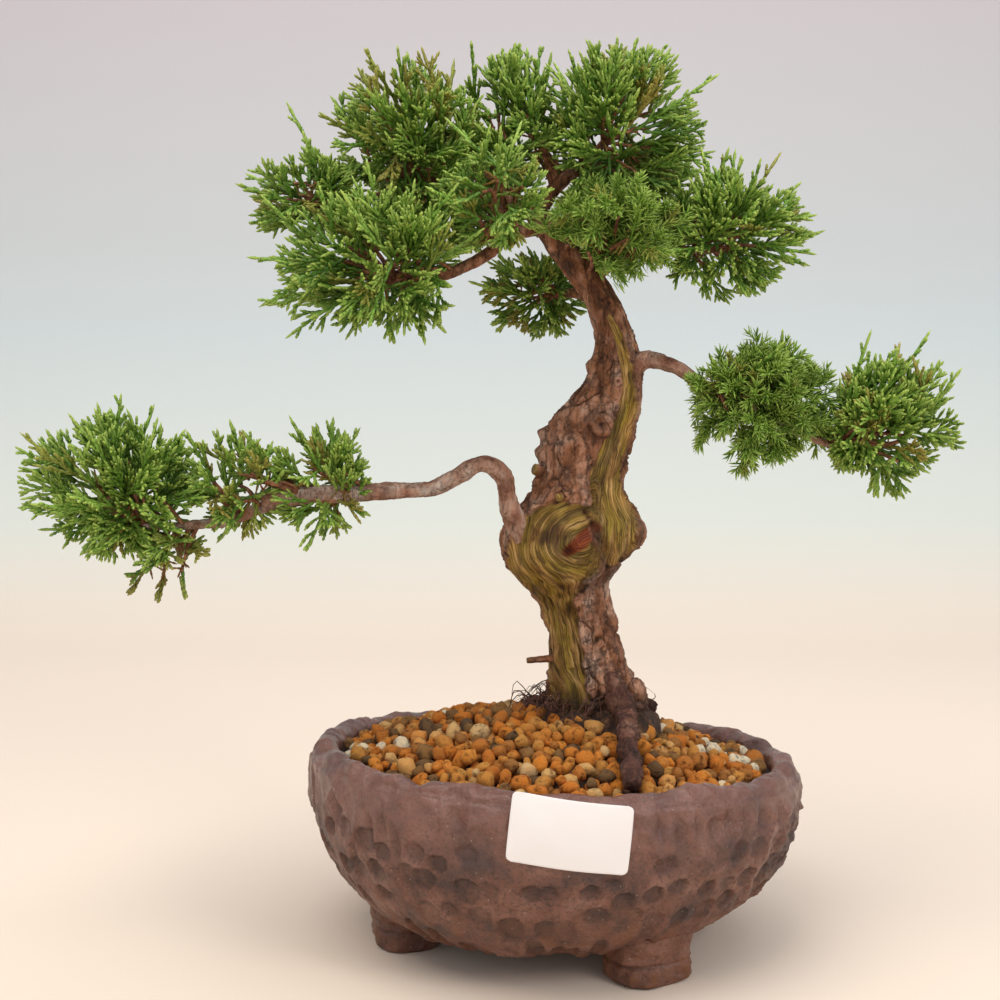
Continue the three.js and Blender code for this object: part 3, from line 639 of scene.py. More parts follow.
    # Deadwood: fibres a few tenths of a millimetre wide, tan, olive with algae, and darkened with painted shade in the
    # grooves and checks.
    fibre_place = add_node(tree, "ShaderNodeCombineXYZ", None, {
        "X": add_node(tree, "ShaderNodeMath", {"operation": "MULTIPLY"}, {0: across, 1: 2.1}).outputs[0],
        "Y": add_node(tree, "ShaderNodeMath", {"operation": "MULTIPLY"}, {0: along, 1: 0.07}).outputs[0]})
    fibres = add_node(tree, "ShaderNodeTexNoise", None, {"Vector": fibre_place.outputs[0], "Scale": 1.0, "Detail": 6.0, "Roughness": 0.75})
    fibre_colour = add_node(tree, "ShaderNodeValToRGB", None, {"Fac": fibres.outputs["Fac"]},
                            ((0.3, "3a2812"), (0.41, colours.deadwood_dark), (0.51, colours.deadwood), (0.61, colours.deadwood_light), (0.71, "e0cc9c")))
    algae_place = add_node(tree, "ShaderNodeCombineXYZ", None, {
        "X": add_node(tree, "ShaderNodeMath", {"operation": "MULTIPLY"}, {0: across, 1: 0.3}).outputs[0],
        "Y": add_node(tree, "ShaderNodeMath", {"operation": "MULTIPLY"}, {0: along, 1: 0.06}).outputs[0]})
    algae = add_node(tree, "ShaderNodeTexNoise", None, {"Vector": algae_place.outputs[0], "Scale": 1.0, "Detail": 4.0, "Roughness": 0.6})
    algae_share = add_node(tree, "ShaderNodeMapRange", None, {"Value": algae.outputs["Fac"], "From Min": 0.4, "From Max": 0.56, "To Max": 0.9})
    bare = add_node(tree, "ShaderNodeMix", mix_colours("MULTIPLY"), {MIX_FACTOR: algae_share.outputs["Result"], MIX_A: fibre_colour.outputs["Color"], MIX_B: opaque("bcc264")})
    groove = add_node(tree, "ShaderNodeAttribute", {"attribute_name": "groove"}).outputs["Fac"]
    bare = add_node(tree, "ShaderNodeMix", mix_colours(), {MIX_FACTOR: groove, MIX_A: bare.outputs[MIX_RESULT], MIX_B: opaque("241809")})
    broad = add_node(tree, "ShaderNodeTexNoise", None, {"Vector": place, "Scale": per_mm(11), "Detail": 4.0})
    weathered = add_node(tree, "ShaderNodeValToRGB", None, {"Fac": broad.outputs["Fac"]}, ((0.34, "9a7a50"), (0.52, "ffffff"), (0.7, "fff3d6")))
    bare = add_node(tree, "ShaderNodeMix", mix_colours("MULTIPLY"), {MIX_FACTOR: 0.8, MIX_A: bare.outputs[MIX_RESULT], MIX_B: weathered.outputs["Color"]})
    wound_colour = add_node(tree, "ShaderNodeValToRGB", None, {"Fac": fibres.outputs["Fac"]}, ((0.36, "2a1006"), (0.48, "6b2a12"), (0.58, "9a4a1e"), (0.7, "c98550")))
    bare = add_node(tree, "ShaderNodeMix", mix_colours(), {MIX_FACTOR: wound, MIX_A: bare.outputs[MIX_RESULT], MIX_B: wound_colour.outputs["Color"]})
    both = add_node(tree, "ShaderNodeMix", mix_colours(), {MIX_FACTOR: deadwood, MIX_A: bark.outputs[MIX_RESULT], MIX_B: bare.outputs[MIX_RESULT]})
    # Painted shade in the wound hole and along the crack, and the trunk darker towards its base.
    hollow_shade_dark_base_factor = add_node(tree, "ShaderNodeAttribute", {"attribute_name": "earth"}).outputs["Fac"]
    both = add_node(tree, "ShaderNodeMix", mix_colours(), {MIX_FACTOR: hollow_shade_dark_base_factor, MIX_A: both.outputs[MIX_RESULT], MIX_B: opaque("1c110b")})
    tree.links.new(both.outputs[MIX_RESULT], shader.inputs["Base Color"])

    shader.inputs["Roughness"].default_value = 0.72
    shader.inputs["Specular IOR Level"].default_value = 0.35
    raised = add_node(tree, "ShaderNodeMath", {"operation": "MULTIPLY_ADD"}, {0: fissures.outputs["Distance"], 1: 1.6, 2: streaks.outputs["Fac"]})
    flakes = add_node(tree, "ShaderNodeBump", None, {"Height": raised.outputs[0], "Strength": 1.0, "Distance": 1.1 * MM})
    ridges = add_node(tree, "ShaderNodeBump", None, {"Height": fibres.outputs["Fac"], "Strength": 0.9, "Distance": 0.5 * MM})
    relief = add_node(tree, "ShaderNodeMix", {"data_type": "VECTOR"}, {0: deadwood, 4: flakes.outputs["Normal"], 5: ridges.outputs["Normal"]})
    tree.links.new(relief.outputs[1], shader.inputs["Normal"])
    return material


def twig_bark():
    """Thin peeling bark of juniper twigs, rust brown and papery."""
    material, tree, shader = new_material("Papery twig bark")
    place = add_node(tree, "ShaderNodeTexCoord").outputs["Object"]
    peel = add_node(tree, "ShaderNodeTexNoise", None, {"Vector": place, "Scale": per_mm(1.8), "Detail": 4.0})
    body = add_node(tree, "ShaderNodeValToRGB", None, {"Fac": peel.outputs["Fac"]}, ((0.3, "46281a"), (0.5, "7b4b30"), (0.65, "a06c48"), (0.8, "c39a76")))
    tree.links.new(body.outputs["Color"], shader.inputs["Base Color"])
    shader.inputs["Roughness"].default_value = 0.75
    bump = add_node(tree, "ShaderNodeBump", None, {"Height": peel.outputs["Fac"], "Strength": 0.8, "Distance": 0.4 * MM})
    tree.links.new(bump.outputs["Normal"], shader.inputs["Normal"])
    return material


def leaf_green(name, colours, gloss):
    """Juniper leaves: waxy, darkened inside the mass by painted shade, mid green outside, yellow-green at growing tips,
    tan when old.
    """
    material, tree, shader = new_material(name)
    tone = add_node(tree, "ShaderNodeAttribute", {"attribute_name": "tone"}).outputs["Fac"]
    depth = add_node(tree, "ShaderNodeAttribute", {"attribute_name": "depth"}).outputs["Fac"]
    tip = add_node(tree, "ShaderNodeAttribute", {"attribute_name": "tip"}).outputs["Fac"]
    growing = add_node(tree, "ShaderNodeAttribute", {"attribute_name": "growing"}).outputs["Fac"]
    age = add_node(tree, "ShaderNodeAttribute", {"attribute_name": "age"}).outputs["Fac"]
    green = add_node(tree, "ShaderNodeValToRGB", None, {"Fac": tone}, ((0.0, colours.leaf_dark), (0.5, colours.leaf), (1.0, colours.leaf_light)))
    at_tip = add_node(tree, "ShaderNodeMath", {"operation": "MULTIPLY"}, {0: tip, 1: growing})
    fresh = add_node(tree, "ShaderNodeMix", mix_colours(), {MIX_FACTOR: at_tip.outputs[0], MIX_A: green.outputs["Color"], MIX_B: opaque(colours.leaf_tip)})
    old = add_node(tree, "ShaderNodeMix", mix_colours(), {MIX_FACTOR: age, MIX_A: fresh.outputs[MIX_RESULT], MIX_B: opaque(colours.leaf_old)})
    dead = add_node(tree, "ShaderNodeMath", {"operation": "SUBTRACT", "use_clamp": True}, {0: age, 1: 1.0})
    old = add_node(tree, "ShaderNodeMix", mix_colours(), {MIX_FACTOR: dead.outputs[0], MIX_A: old.outputs[MIX_RESULT], MIX_B: opaque("8a4a24")})
    # Painted shade: leaves deeper inside the mass are darkened.
    inner_shade = add_node(tree, "ShaderNodeMix", mix_colours("MULTIPLY"), {MIX_FACTOR: depth, MIX_A: old.outputs[MIX_RESULT], MIX_B: opaque("b2b692")})
    place = add_node(tree, "ShaderNodeTexCoord").outputs["Object"]
    scales = add_node(tree, "ShaderNodeTexNoise", None, {"Vector": place, "Scale": per_mm(0.9), "Detail": 2.0})
    speck = add_node(tree, "ShaderNodeValToRGB", None, {"Fac": scales.outputs["Fac"]}, ((0.3, "93a083"), (0.55, "ffffff")))
    body = add_node(tree, "ShaderNodeMix", mix_colours("MULTIPLY"), {MIX_FACTOR: 0.7, MIX_A: inner_shade.outputs[MIX_RESULT], MIX_B: speck.outputs["Color"]})
    tree.links.new(body.outputs[MIX_RESULT], shader.inputs["Base Color"])
    shader.inputs["Roughness"].default_value = gloss
    shader.inputs["Specular IOR Level"].default_value = 0.35
    bump = add_node(tree, "ShaderNodeBump", None, {"Height": scales.outputs["Fac"], "Strength": 0.5, "Distance": 0.25 * MM})
    tree.links.new(bump.outputs["Normal"], shader.inputs["Normal"])
    return material


def label_vinyl(colour):
    """A plain white vinyl sticker, satin and very slightly rippled."""
    material, tree, shader = new_material("White sticker vinyl")
    place = add_node(tree, "ShaderNodeTexCoord").outputs["Object"]
    ripple = add_node(tree, "ShaderNodeTexNoise", None, {"Vector": place, "Scale": per_mm(9), "Detail": 2.0})
    smudge = add_node(tree, "ShaderNodeValToRGB", None, {"Fac": ripple.outputs["Fac"]}, ((0.3, "efebe9"), (0.6, colour)))
    tree.links.new(smudge.outputs["Color"], shader.inputs["Base Color"])
    shader.inputs["Roughness"].default_value = 0.32
    bump = add_node(tree, "ShaderNodeBump", None, {"Height": ripple.outputs["Fac"], "Strength": 0.35, "Distance": 0.5 * MM})
    tree.links.new(bump.outputs["Normal"], shader.inputs["Normal"])
    return material


def moulded_plastic():
    """Black moulded polypropylene with a faint dull grain."""
    material, tree, shader = new_material("Moulded polypropylene")
    place = add_node(tree, "ShaderNodeTexCoord").outputs["Object"]
    grain = add_node(tree, "ShaderNodeTexNoise", None, {"Vector": place, "Scale": per_mm(0.8), "Detail": 3.0})
    body = add_node(tree, "ShaderNodeValToRGB", None, {"Fac": grain.outputs["Fac"]}, ((0.35, "121413"), (0.65, "242726")))
    tree.links.new(body.outputs["Color"], shader.inputs["Base Color"])
    shader.inputs["Roughness"].default_value = 0.5
    return material


def anodised_wire():
    """Drawn aluminium bonsai wire, dulled by handling."""
    material, tree, shader = new_material("Drawn aluminium wire")
    place = add_node(tree, "ShaderNodeTexCoord").outputs["Object"]
    wear = add_node(tree, "ShaderNodeTexNoise", None, {"Vector": place, "Scale": per_mm(2), "Detail": 3.0})
    body = add_node(tree, "ShaderNodeValToRGB", None, {"Fac": wear.outputs["Fac"]}, ((0.35, "8b857c"), (0.65, "bdb7ae")))
    tree.links.new(body.outputs["Color"], shader.inputs["Base Color"])
    shader.inputs["Metallic"].default_value = 1.0
    shader.inputs["Roughness"].default_value = 0.42
    return material


def studio_paper(floor, middle, top):
    """Seamless matt studio paper: the floor's colour low down, cooler towards the top of the sweep."""
    material, tree, shader = new_material("Seamless studio paper")
    place = add_node(tree, "ShaderNodeTexCoord").outputs["Object"]
    height = add_node(tree, "ShaderNodeSeparateXYZ", None, {"Vector": place}).outputs["Z"]
    share = add_node(tree, "ShaderNodeMapRange", None, {"Value": height, "From Min": 0.0, "From Max": 0.62})
    body = add_node(tree, "ShaderNodeValToRGB", None, {"Fac": share.outputs["Result"]}, ((0.0, floor), (0.13, "e0e3da"), (0.42, middle), (1.0, top)))
    tree.links.new(body.outputs["Color"], shader.inputs["Base Color"])
    shader.inputs["Roughness"].default_value = 0.95
    shader.inputs["Specular IOR Level"].default_value = 0.1
    return material


# ------------------------------------------------------------------ geometry node trees
def grown_on_points(name, what, socket_type):
    """A tree that sets one shape, or one of several, on every point, turned and sized by the point's attributes."""
    tree = bpy.data.node_groups.new(name, "GeometryNodeTree")
    for label, kind, direction in (
        ("Geometry", "NodeSocketGeometry", "INPUT"),
        (what, socket_type, "INPUT"),
        ("Girth", "NodeSocketFloat", "INPUT"),
        ("Seed", "NodeSocketInt", "INPUT"),
        ("Material", "NodeSocketMaterial", "INPUT"),
        ("Geometry", "NodeSocketGeometry", "OUTPUT"),
    ):
        tree.interface.new_socket(label, in_out=direction, socket_type=kind)
    given = add_node(tree, "NodeGroupInput").outputs
    turn = add_node(tree, "GeometryNodeInputNamedAttribute", {"data_type": "QUATERNION"}, {"Name": "turn"})
    size = add_node(tree, "GeometryNodeInputNamedAttribute", {"data_type": "FLOAT_VECTOR"}, {"Name": "size"})
    girth = add_node(tree, "ShaderNodeCombineXYZ", None, {"X": given["Girth"], "Y": given["Girth"], "Z": 1.0})
    sized = add_node(tree, "ShaderNodeVectorMath", {"operation": "MULTIPLY"}, {0: size.outputs["Attribute"], 1: girth.outputs[0]})
    inputs = {"Points": given["Geometry"], "Rotation": turn.outputs["Attribute"], "Scale": sized.outputs[0]}
    if socket_type == "NodeSocketObject":
        shape = add_node(tree, "GeometryNodeObjectInfo", {"transform_space": "ORIGINAL"}, {"Object": given[what]})
        inputs["Instance"] = shape.outputs["Geometry"]
    else:
        shape = add_node(tree, "GeometryNodeCollectionInfo", None, {"Collection": given[what], "Separate Children": True, "Reset Children": True})
        pick = add_node(tree, "FunctionNodeRandomValue", {"data_type": "INT"}, {"Min": 0, "Max": 99, "Seed": given["Seed"]})
        whole = [o for o in pick.outputs if o.enabled][0]
        inputs |= {"Instance": shape.outputs["Instances"], "Pick Instance": True, "Instance Index": whole}
    grown = add_node(tree, "GeometryNodeInstanceOnPoints", None, inputs)
    real = add_node(tree, "GeometryNodeRealizeInstances", None, {"Geometry": grown.outputs["Instances"]})
    bare = real.outputs["Geometry"]
    for used in ("turn", "size"):
        bare = add_node(tree, "GeometryNodeRemoveAttribute", None, {"Geometry": bare, "Name": used}).outputs["Geometry"]
    done = add_node(tree, "GeometryNodeSetMaterial", None, {"Geometry": bare, "Material": given["Material"]})
    add_node(tree, "NodeGroupOutput", None, {"Geometry": done.outputs["Geometry"]})
    return tree


def grow(name, tree, what, shape, girth, seed, material, places, turns, sizes, values):
    """Sets the shape on every place through the tree, and returns the result as a plain piece."""
    mesh = bpy.data.meshes.new(name + "_points")
    mesh.from_pydata((np.asarray(places) * MM + AXIS).tolist(), [], [])
    mesh.attributes.new("turn", "QUATERNION", "POINT").data.foreach_set("value", np.asarray(turns, np.float32).ravel())
    mesh.attributes.new("size", "FLOAT_VECTOR", "POINT").data.foreach_set("vector", (np.asarray(sizes) * MM).astype(np.float32).ravel())
    for key, value in values.items():
        mesh.attributes.new(key, "FLOAT", "POINT").data.foreach_set("value", np.asarray(value, np.float32))
    holder = bpy.data.objects.new(name + "_points", mesh)
    bpy.context.scene.collection.objects.link(holder)
    modifier = holder.modifiers.new(name, "NODES")
    modifier.node_group = tree
    given = {what: shape, "Girth": girth, "Seed": seed, "Material": material}
    for socket in tree.interface.items_tree:
        if socket.in_out == "INPUT" and socket.name in given:
            modifier[socket.identifier] = given[socket.name]
    holder.data.update()
    evaluated = holder.evaluated_get(bpy.context.evaluated_depsgraph_get())
    result = bpy.data.meshes.new_from_object(evaluated)
    holder.modifiers.clear()
    bpy.data.objects.remove(holder)
    result.name = name
    result.shade_smooth()
    piece = bpy.data.objects.new(name, result)
    bpy.context.scene.collection.objects.link(piece)
    return piece


def hidden_shape(name, corners, faces, values=None):
    """A small shape for the trees to repeat. It isn't part of the scene."""
    mesh = bpy.data.meshes.new(name)
    mesh.from_pydata(corners.tolist(), [], faces)
    for key, value in (values or {}).items():
        mesh.attributes.new(key, "FLOAT", "POINT").data.foreach_set("value", np.asarray(value, np.float32))
    mesh.shade_smooth()
    return bpy.data.objects.new(name, mesh)


def ringed_shape(name, profile, sides, flatten=1.0, twist=0.0):
    """A closed shape of unit length along +Z from rows of height and radius, each ring turned a little further."""
    corners, tip = [], []
    for row, (height, radius) in enumerate(profile):
        turn = np.arange(sides) * 2 * math.pi / sides + twist * row
        corners += [(radius * math.cos(a), flatten * radius * math.sin(a), height) for a in turn]
        tip += [height] * sides
    corners.append((0, 0, 1))
    tip.append(1)
    faces = [tuple(reversed(range(sides)))]
    for row in range(len(profile) - 1):
        for c in range(sides):
            n = (c + 1) % sides
            low, high = row * sides, (row + 1) * sides
            faces.append((low + c, low + n, high + n, high + c))
    last = (len(profile) - 1) * sides
    faces += [(last + c, last + (c + 1) % sides, len(corners) - 1) for c in range(sides)]
    return hidden_shape(name, np.array(corners), faces, {"tip": np.array(tip) ** 1.6})


def turn_to(directions, spins):
    """Quaternions that turn +Z to each direction, after a spin about +Z."""
    d = unit(directions)
    half = np.stack([1 + d[:, 2], -d[:, 1], d[:, 0], np.zeros(len(d))], 1)
    half[half[:, 0] < 1e-6] = (0, 1, 0, 0)
    half = unit(half)
    w, x, y, _ = half.T
    c, s = np.cos(np.asarray(spins) / 2), np.sin(np.asarray(spins) / 2)
    return np.stack([w * c, x * c + y * s, y * c - x * s, w * s], 1)


# ------------------------------------------------------------------ the bowl
def bowl_profile():
    """Rows of radius and height round the whole wall, from the drain hole, outside, over the lip and back."""
    def rows(count, radius_of, low, high, end=False):
        heights = np.linspace(low, high, count, endpoint=end)
        return np.stack([radius_of(heights), heights], 1)

    share = np.linspace(0, 1, 112)
    rise = UNDERSIDE + (WIDEST_AT - UNDERSIDE) * (1 - np.cos(share * math.pi / 2))
    lip_bottom = LIP - LIP_ROUND
    lip_middle = INNER_RADIUS + BOWL_WALL / 2
    bend = np.linspace(0, math.pi, 16)
    lip = np.stack([lip_middle + BOWL_WALL / 2 * np.cos(bend), lip_bottom + LIP_ROUND * np.sin(bend)], 1)
    down = HOLLOW_TOP - (HOLLOW_TOP - INNER_FLOOR) * np.sin(np.linspace(0.06, 1, 18) * math.pi / 2)
    under = np.stack([np.linspace(DRAIN_RADIUS, BASE_RADIUS, 9, endpoint=False), np.full(9, UNDERSIDE)], 1)
    floor = np.stack([np.linspace(FLOOR_RADIUS, DRAIN_RADIUS, 7)[1:], np.full(6, INNER_FLOOR)], 1)
    return np.vstack([
        under,
        np.stack([wall_radius(rise), rise], 1),
        rows(8, wall_radius, WIDEST_AT + 0.9, lip_bottom),
        lip,
        np.stack([hollow_radius(down), down], 1),
        floor,
    ])


def thumb_dents(arc, height, settings):
    """Depth and shade of the round dents pressed into the wall, each undercut at its upper edge."""
    width = settings.dent_width / MM
    pitch = width * 1.12
    row = np.floor(height / pitch)
    depth, shade = np.zeros(arc.shape), np.zeros(arc.shape)
    for dr in (-1, 0, 1):
        r = row + dr
        column = np.floor(arc / pitch + 0.5 * (r % 2))
        for dc in (-1, 0, 1):
            cell = np.stack(np.broadcast_arrays(column + dc, r, 0 * r), -1).astype(np.int64)
            jitter = [scatter(cell, 50 + k) for k in range(4)]
            middle_x = (cell[..., 0] + 0.5 - 0.5 * (r % 2) + 0.55 * (jitter[0] - 0.5)) * pitch
            middle_z = (r + 0.5 + 0.5 * (jitter[1] - 0.5)) * pitch
            half = width * (0.36 + 0.2 * jitter[2])
            x, z = (arc - middle_x) / half, (height - middle_z) / half / 0.9
            reach = np.hypot(x, z)
            strength = np.clip(jitter[3] * 1.6 + 0.2, 0.4, 1)
            floor = smooth_step(1, 0.8, reach)
            depth = np.maximum(depth, strength * floor * (0.45 + 0.55 * smooth_step(-0.7, 0.5, z)))
            # Painted shade: a dark crescent under each dent's undercut upper edge, and half as dark over its floor.
            crescent = smooth_step(1, 0.88, reach) * smooth_step(0.1, 0.65, z + 0.25 * (reach - 1))
            shade = np.maximum(shade, strength * np.maximum(crescent, 0.5 * floor))
            ridge = np.exp(-(((reach - 1.08) / 0.16) ** 2)) * smooth_step(0, 0.8, z)
            depth = depth - 0.28 * strength * ridge * (depth <= 0.02)
    return depth, shade


def make_bowl(settings, material):
    """The bowl's wall with its dents, facets, chips and uneven lip."""
    profile = bowl_profile()
    count = 568
    turn = np.linspace(0, 2 * math.pi, count, endpoint=False)
    radius, height = profile[:, 0][:, None], profile[:, 1][:, None]
    points = np.stack([radius * np.cos(turn), radius * np.sin(turn), height + 0 * turn], -1)
    step = np.gradient(profile, axis=0)
    out_r, out_z = step[:, 1], -step[:, 0]
    scale = np.maximum(np.hypot(out_r, out_z), 1e-6)
    normal = np.stack([(out_r / scale)[:, None] * np.cos(turn), (out_r / scale)[:, None] * np.sin(turn), (out_z / scale)[:, None] + 0 * turn], -1)

    flat = points.reshape(-1, 3)
    warp = smooth_noise(flat, 7, 12)[:, None]
    shape = points.shape[:2]
    outside = np.zeros(shape)
    first, last = 9, 9 + 112 + 8
    outside[first:last] = 1
    outside[last - 8:last] *= np.linspace(1, 0, 8)[:, None]
    length = np.r_[0, np.cumsum(np.hypot(*np.diff(profile, axis=0).T))][:, None]
    arc = turn[None, :] * BOWL_RADIUS * 0.9 + 0 * radius
    squeeze = np.clip(radius / (BOWL_RADIUS * 0.9), 0.45, 1)
    depth, shade = thumb_dents(arc, length / squeeze, settings)
    low_band = smooth_step(LIP - 13, LIP - 22, height + 4 * smooth_noise(flat, 22, 3).reshape(shape)) * smooth_step(UNDERSIDE + 0.5, UNDERSIDE + 6, height)
    from_label = (turn[None, :] + math.pi / 2 + math.pi) % (2 * math.pi) - math.pi - LABEL_TURN
    label_near = smooth_step(1.25, 1.0, np.maximum(np.abs(from_label) * BOWL_RADIUS / 20, np.abs(height - LABEL_AT) / 12))
    dents = outside * low_band * (1 - label_near)

    nearest, second, own = cell_noise((flat + 2 * warp) * (1, 1, 0.75), 10.5, 11)
    facets = (1.6 * nearest**1.6 + 0.7 * own - 0.9).reshape(shape)
    crumple = rough_noise(flat, 4.5, 21, 3).reshape(shape)
    ripple = rough_noise(flat, 1.7, 31, 2).reshape(shape)
    lift = outside * ((1.9 - 1.1 * low_band) * facets + 0.36 * crumple * (0.5 + 0.5 * low_band)) * (1 - 0.96 * label_near)
    lift = lift + 0.12 * ripple * outside
    lift = lift - settings.dent_depth / MM * depth * dents
    # Long finger marks under the lip, on the right of the front.
    marks = np.zeros(shape)
    for at, below_lip, half_width, half_height in (
        (-69.5, 9, 1.7, 4.5), (-65, 10, 1.9, 6), (-60.5, 9, 1.8, 5.5), (-56, 10, 2, 6.5), (-51.5, 9, 1.8, 5.5), (-47, 11, 1.9, 5.5), (-41, 10, 2, 5),
        (-33, 11, 2, 5.5), (-24, 10, 2, 5), (-127, 19, 1.2, 4.5), (-130, 14, 1.3, 5), (-134, 18, 1.3, 5.5), (-141, 22, 1.2, 5), (-147, 14, 1.6, 5),
        (-119, 7, 2.6, 3), (-112, 11, 2.4, 3),
    ):
        away = (np.degrees(turn)[None, :] - at + 180) % 360 - 180
        mark = np.exp(-((np.radians(away) * BOWL_RADIUS / half_width) ** 2) - ((height - LIP + below_lip) / half_height) ** 2)
        marks = np.maximum(marks, mark * outside)
    lift = lift - 1.8 * marks
    # Torn, chipped clay where the wall was scraped, at the right.
    right = smooth_step(0.55, 0.85, np.cos(turn))[None, :] * smooth_step(14, 26, height) * smooth_step(LIP - 6, LIP - 14, height)
    chips = np.abs(rough_noise(flat * (1, 1, 1.5), 8, 41, 3)).reshape(shape)
    lift = lift + outside * right * (2.6 * (0.3 - chips))
    # The lip: pinched thicker and thinner, notched in places, and folded over at the back left.
    on_lip = smooth_step(LIP - 9, LIP - 3, height) * (radius > FLOOR_RADIUS + 20)
    pinch = smooth_noise(flat * (1, 1, 0.35), 13, 61).reshape(shape)
    fold = rough_noise(flat, 6, 71, 3).reshape(shape)
    lift = lift + on_lip * (1.1 * pinch + 0.9 * fold * (1 - 0.8 * label_near))
    points = points + normal * lift[..., None]
    rim = smooth_step(LIP - 5, LIP, height) * (radius > FLOOR_RADIUS + 20)
    points[..., 2] += rim * (0.9 * smooth_noise(flat * (1, 1, 0), 11, 81).reshape(shape) + 0.35 * fold)
    for at, half_width, cut in ((-124, 4, 2.2), (-97, 3, 0.8), (118, 6, 1.6), (52, 5, 1.5), (12, 4, 1.4)):
        away = (np.degrees(turn)[None, :] - at + 180) % 360 - 180
        points[..., 2] -= rim * cut * np.exp(-((np.radians(away) * BOWL_RADIUS / half_width) ** 2))

    skin = Skin()
    dust = 0.55 * smooth_step(46, 14, height) * smooth_step(-0.5, 0.6, crumple) * outside
    # Painted shade: the dents' crescents and floors, the finger marks and the pressed-in facets are darkened.
    skin.add_rings(hand_formed(points), {"dent": np.clip(0.95 * shade * dents + 0.4 * marks + 0.35 * np.clip(-facets, 0, 1) * outside, 0, 1), "dust": dust}, wrap=True)
    bowl = skin.piece("bowl")
    return hand_over(bowl, material, "clay", "pot")


def make_feet(material):
    """Three squat feet, pressed on under the bowl, each with a seam round it where its two layers of clay meet."""
    skin = Skin()
    for number, at in enumerate(FEET_AT):
        rows, columns = 34, 96
        turn = np.linspace(0, 2 * math.pi, columns, endpoint=False)
        share = np.linspace(0, 1, rows)
        top = 17.0
        height = top * share
        # Level outline: between an ellipse and a rectangle.
        power = 0.74
        cos, sin = np.cos(turn), np.sin(turn)
        outline = np.stack([np.sign(cos) * np.abs(cos) ** power * FOOT_HALF[0], np.sign(sin) * np.abs(sin) ** power * FOOT_HALF[1]], 1)
        edge = 1 - 0.12 * np.clip(1 - height / 1.6, 0, 1) ** 2
        seam = 1 - 0.06 * np.exp(-(((height - 7.2) / 0.5) ** 2))
        flare = 0.97 + 0.1 * smooth_step(9, 16, height)
        width = edge * seam * flare
        local = outline[None] * width[:, None, None]
        points = np.concatenate([local, np.broadcast_to(height[:, None, None], (rows, columns, 1))], -1)
        flat = points.reshape(-1, 3) + 50 * number
        lift = 1.3 * rough_noise(flat, 8, 91, 3) + 0.5 * rough_noise(flat, 2.6, 92, 2)
        free = smooth_step(0, 1.2, points[..., 2])
        points[..., :2] += unit(outline)[None] * (lift.reshape(rows, columns) * free)[..., None]
        points[..., 2] += 0.4 * smooth_noise(flat, 6, 93).reshape(rows, columns) * smooth_step(2, 8, points[..., 2])
        a = math.radians(at)
        x = points[..., 0] + FOOT_RING
        turned = np.stack([x * math.cos(a) - points[..., 1] * math.sin(a), x * math.sin(a) + points[..., 1] * math.cos(a), points[..., 2]], -1)
        # Painted shade in the seam's groove, in patches.
        shade = 0.8 * np.exp(-(((height[:, None] - 7.2) / 0.5) ** 2)) * smooth_step(-0.7, 0.3, smooth_noise(flat, 6, 94).reshape(rows, columns))
        skin.add_rings(turned, {"dent": shade, "dust": 0.25 + 0.5 * free * smooth_step(0, 0.6, lift.reshape(rows, columns))})
    return hand_over(skin.piece("bowl_feet"), material, "clay", "pot")


# ------------------------------------------------------------------ soil
def wood_near_ground():
    """Points and radii of the roots, to keep granules out of them."""
    parts = []
    for rows in ROOTS:
        line = smooth_path(rows, 40)
        line[:, 2] += LIP
        parts.append(line)
    return np.vstack(parts)


def make_soil_bed(material):
    """The packed soil under the granules, down to the bowl's floor."""
    columns = 120
    turn = np.linspace(0, 2 * math.pi, columns, endpoint=False)
    wall = np.linspace(HOLLOW_TOP, INNER_FLOOR + 0.3, 9)
    over_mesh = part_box("mesh_staple")[1].z / MM + 0.3
    low = [(1.0, over_mesh), (18.6, over_mesh), (18.7, INNER_FLOOR + 0.3)]
    low += [(hollow_radius(h - 0.3) - 0.5, h) for h in wall[::-1]]
    rings = [np.stack([r * np.cos(turn), r * np.sin(turn), h + 0 * turn], -1) for r, h in low]
    rings = [hand_formed(np.array(rings))]
    out = np.linspace(INNER_RADIUS - 1.5, 1.5, 40)
    top = np.stack([out[:, None] * np.cos(turn), out[:, None] * np.sin(turn), 0 * out[:, None] + 0 * turn], -1)
    top[..., 2] = mound_height(top[..., 0], top[..., 1]) - 4.2
    top[..., 2] += 0.9 * rough_noise(top.reshape(-1, 3), 5, 101, 3).reshape(top.shape[:2])
    skin = Skin()
    skin.add_rings(np.concatenate([rings[0], top]), {"tone": 0.1})
    return hand_over(skin.piece("packed_soil"), material, "granules", "soil_bed")


def pebble_shapes(random):
    """A few lumpy granules of a few dozen faces for the trees to choose from."""
    shapes = bpy.data.collections.new("granule_shapes")
    for number in range(8):
        ball = bmesh.new()
        bmesh.ops.create_icosphere(ball, subdivisions=2, radius=1.0)
        co = np.array([v.co for v in ball.verts])
        lump = 1 + 0.22 * smooth_noise(co + 9 * number, 0.9, 111) + 0.13 * smooth_noise(co + 9 * number, 0.45, 112)
        co = co * lump[:, None]
        for plane in unit(random.normal(size=(9, 3))):
            out = co @ plane - random.uniform(0.62, 0.88)
            co = co - np.clip(out, 0, None)[:, None] * plane * 0.9
        co = co * random.uniform(0.85, 1.25, 3)
        faces = [[v.index for v in f.verts] for f in ball.faces]
        ball.free()
        shapes.objects.link(hidden_shape(f"granule_{number}", co, faces))
    return shapes


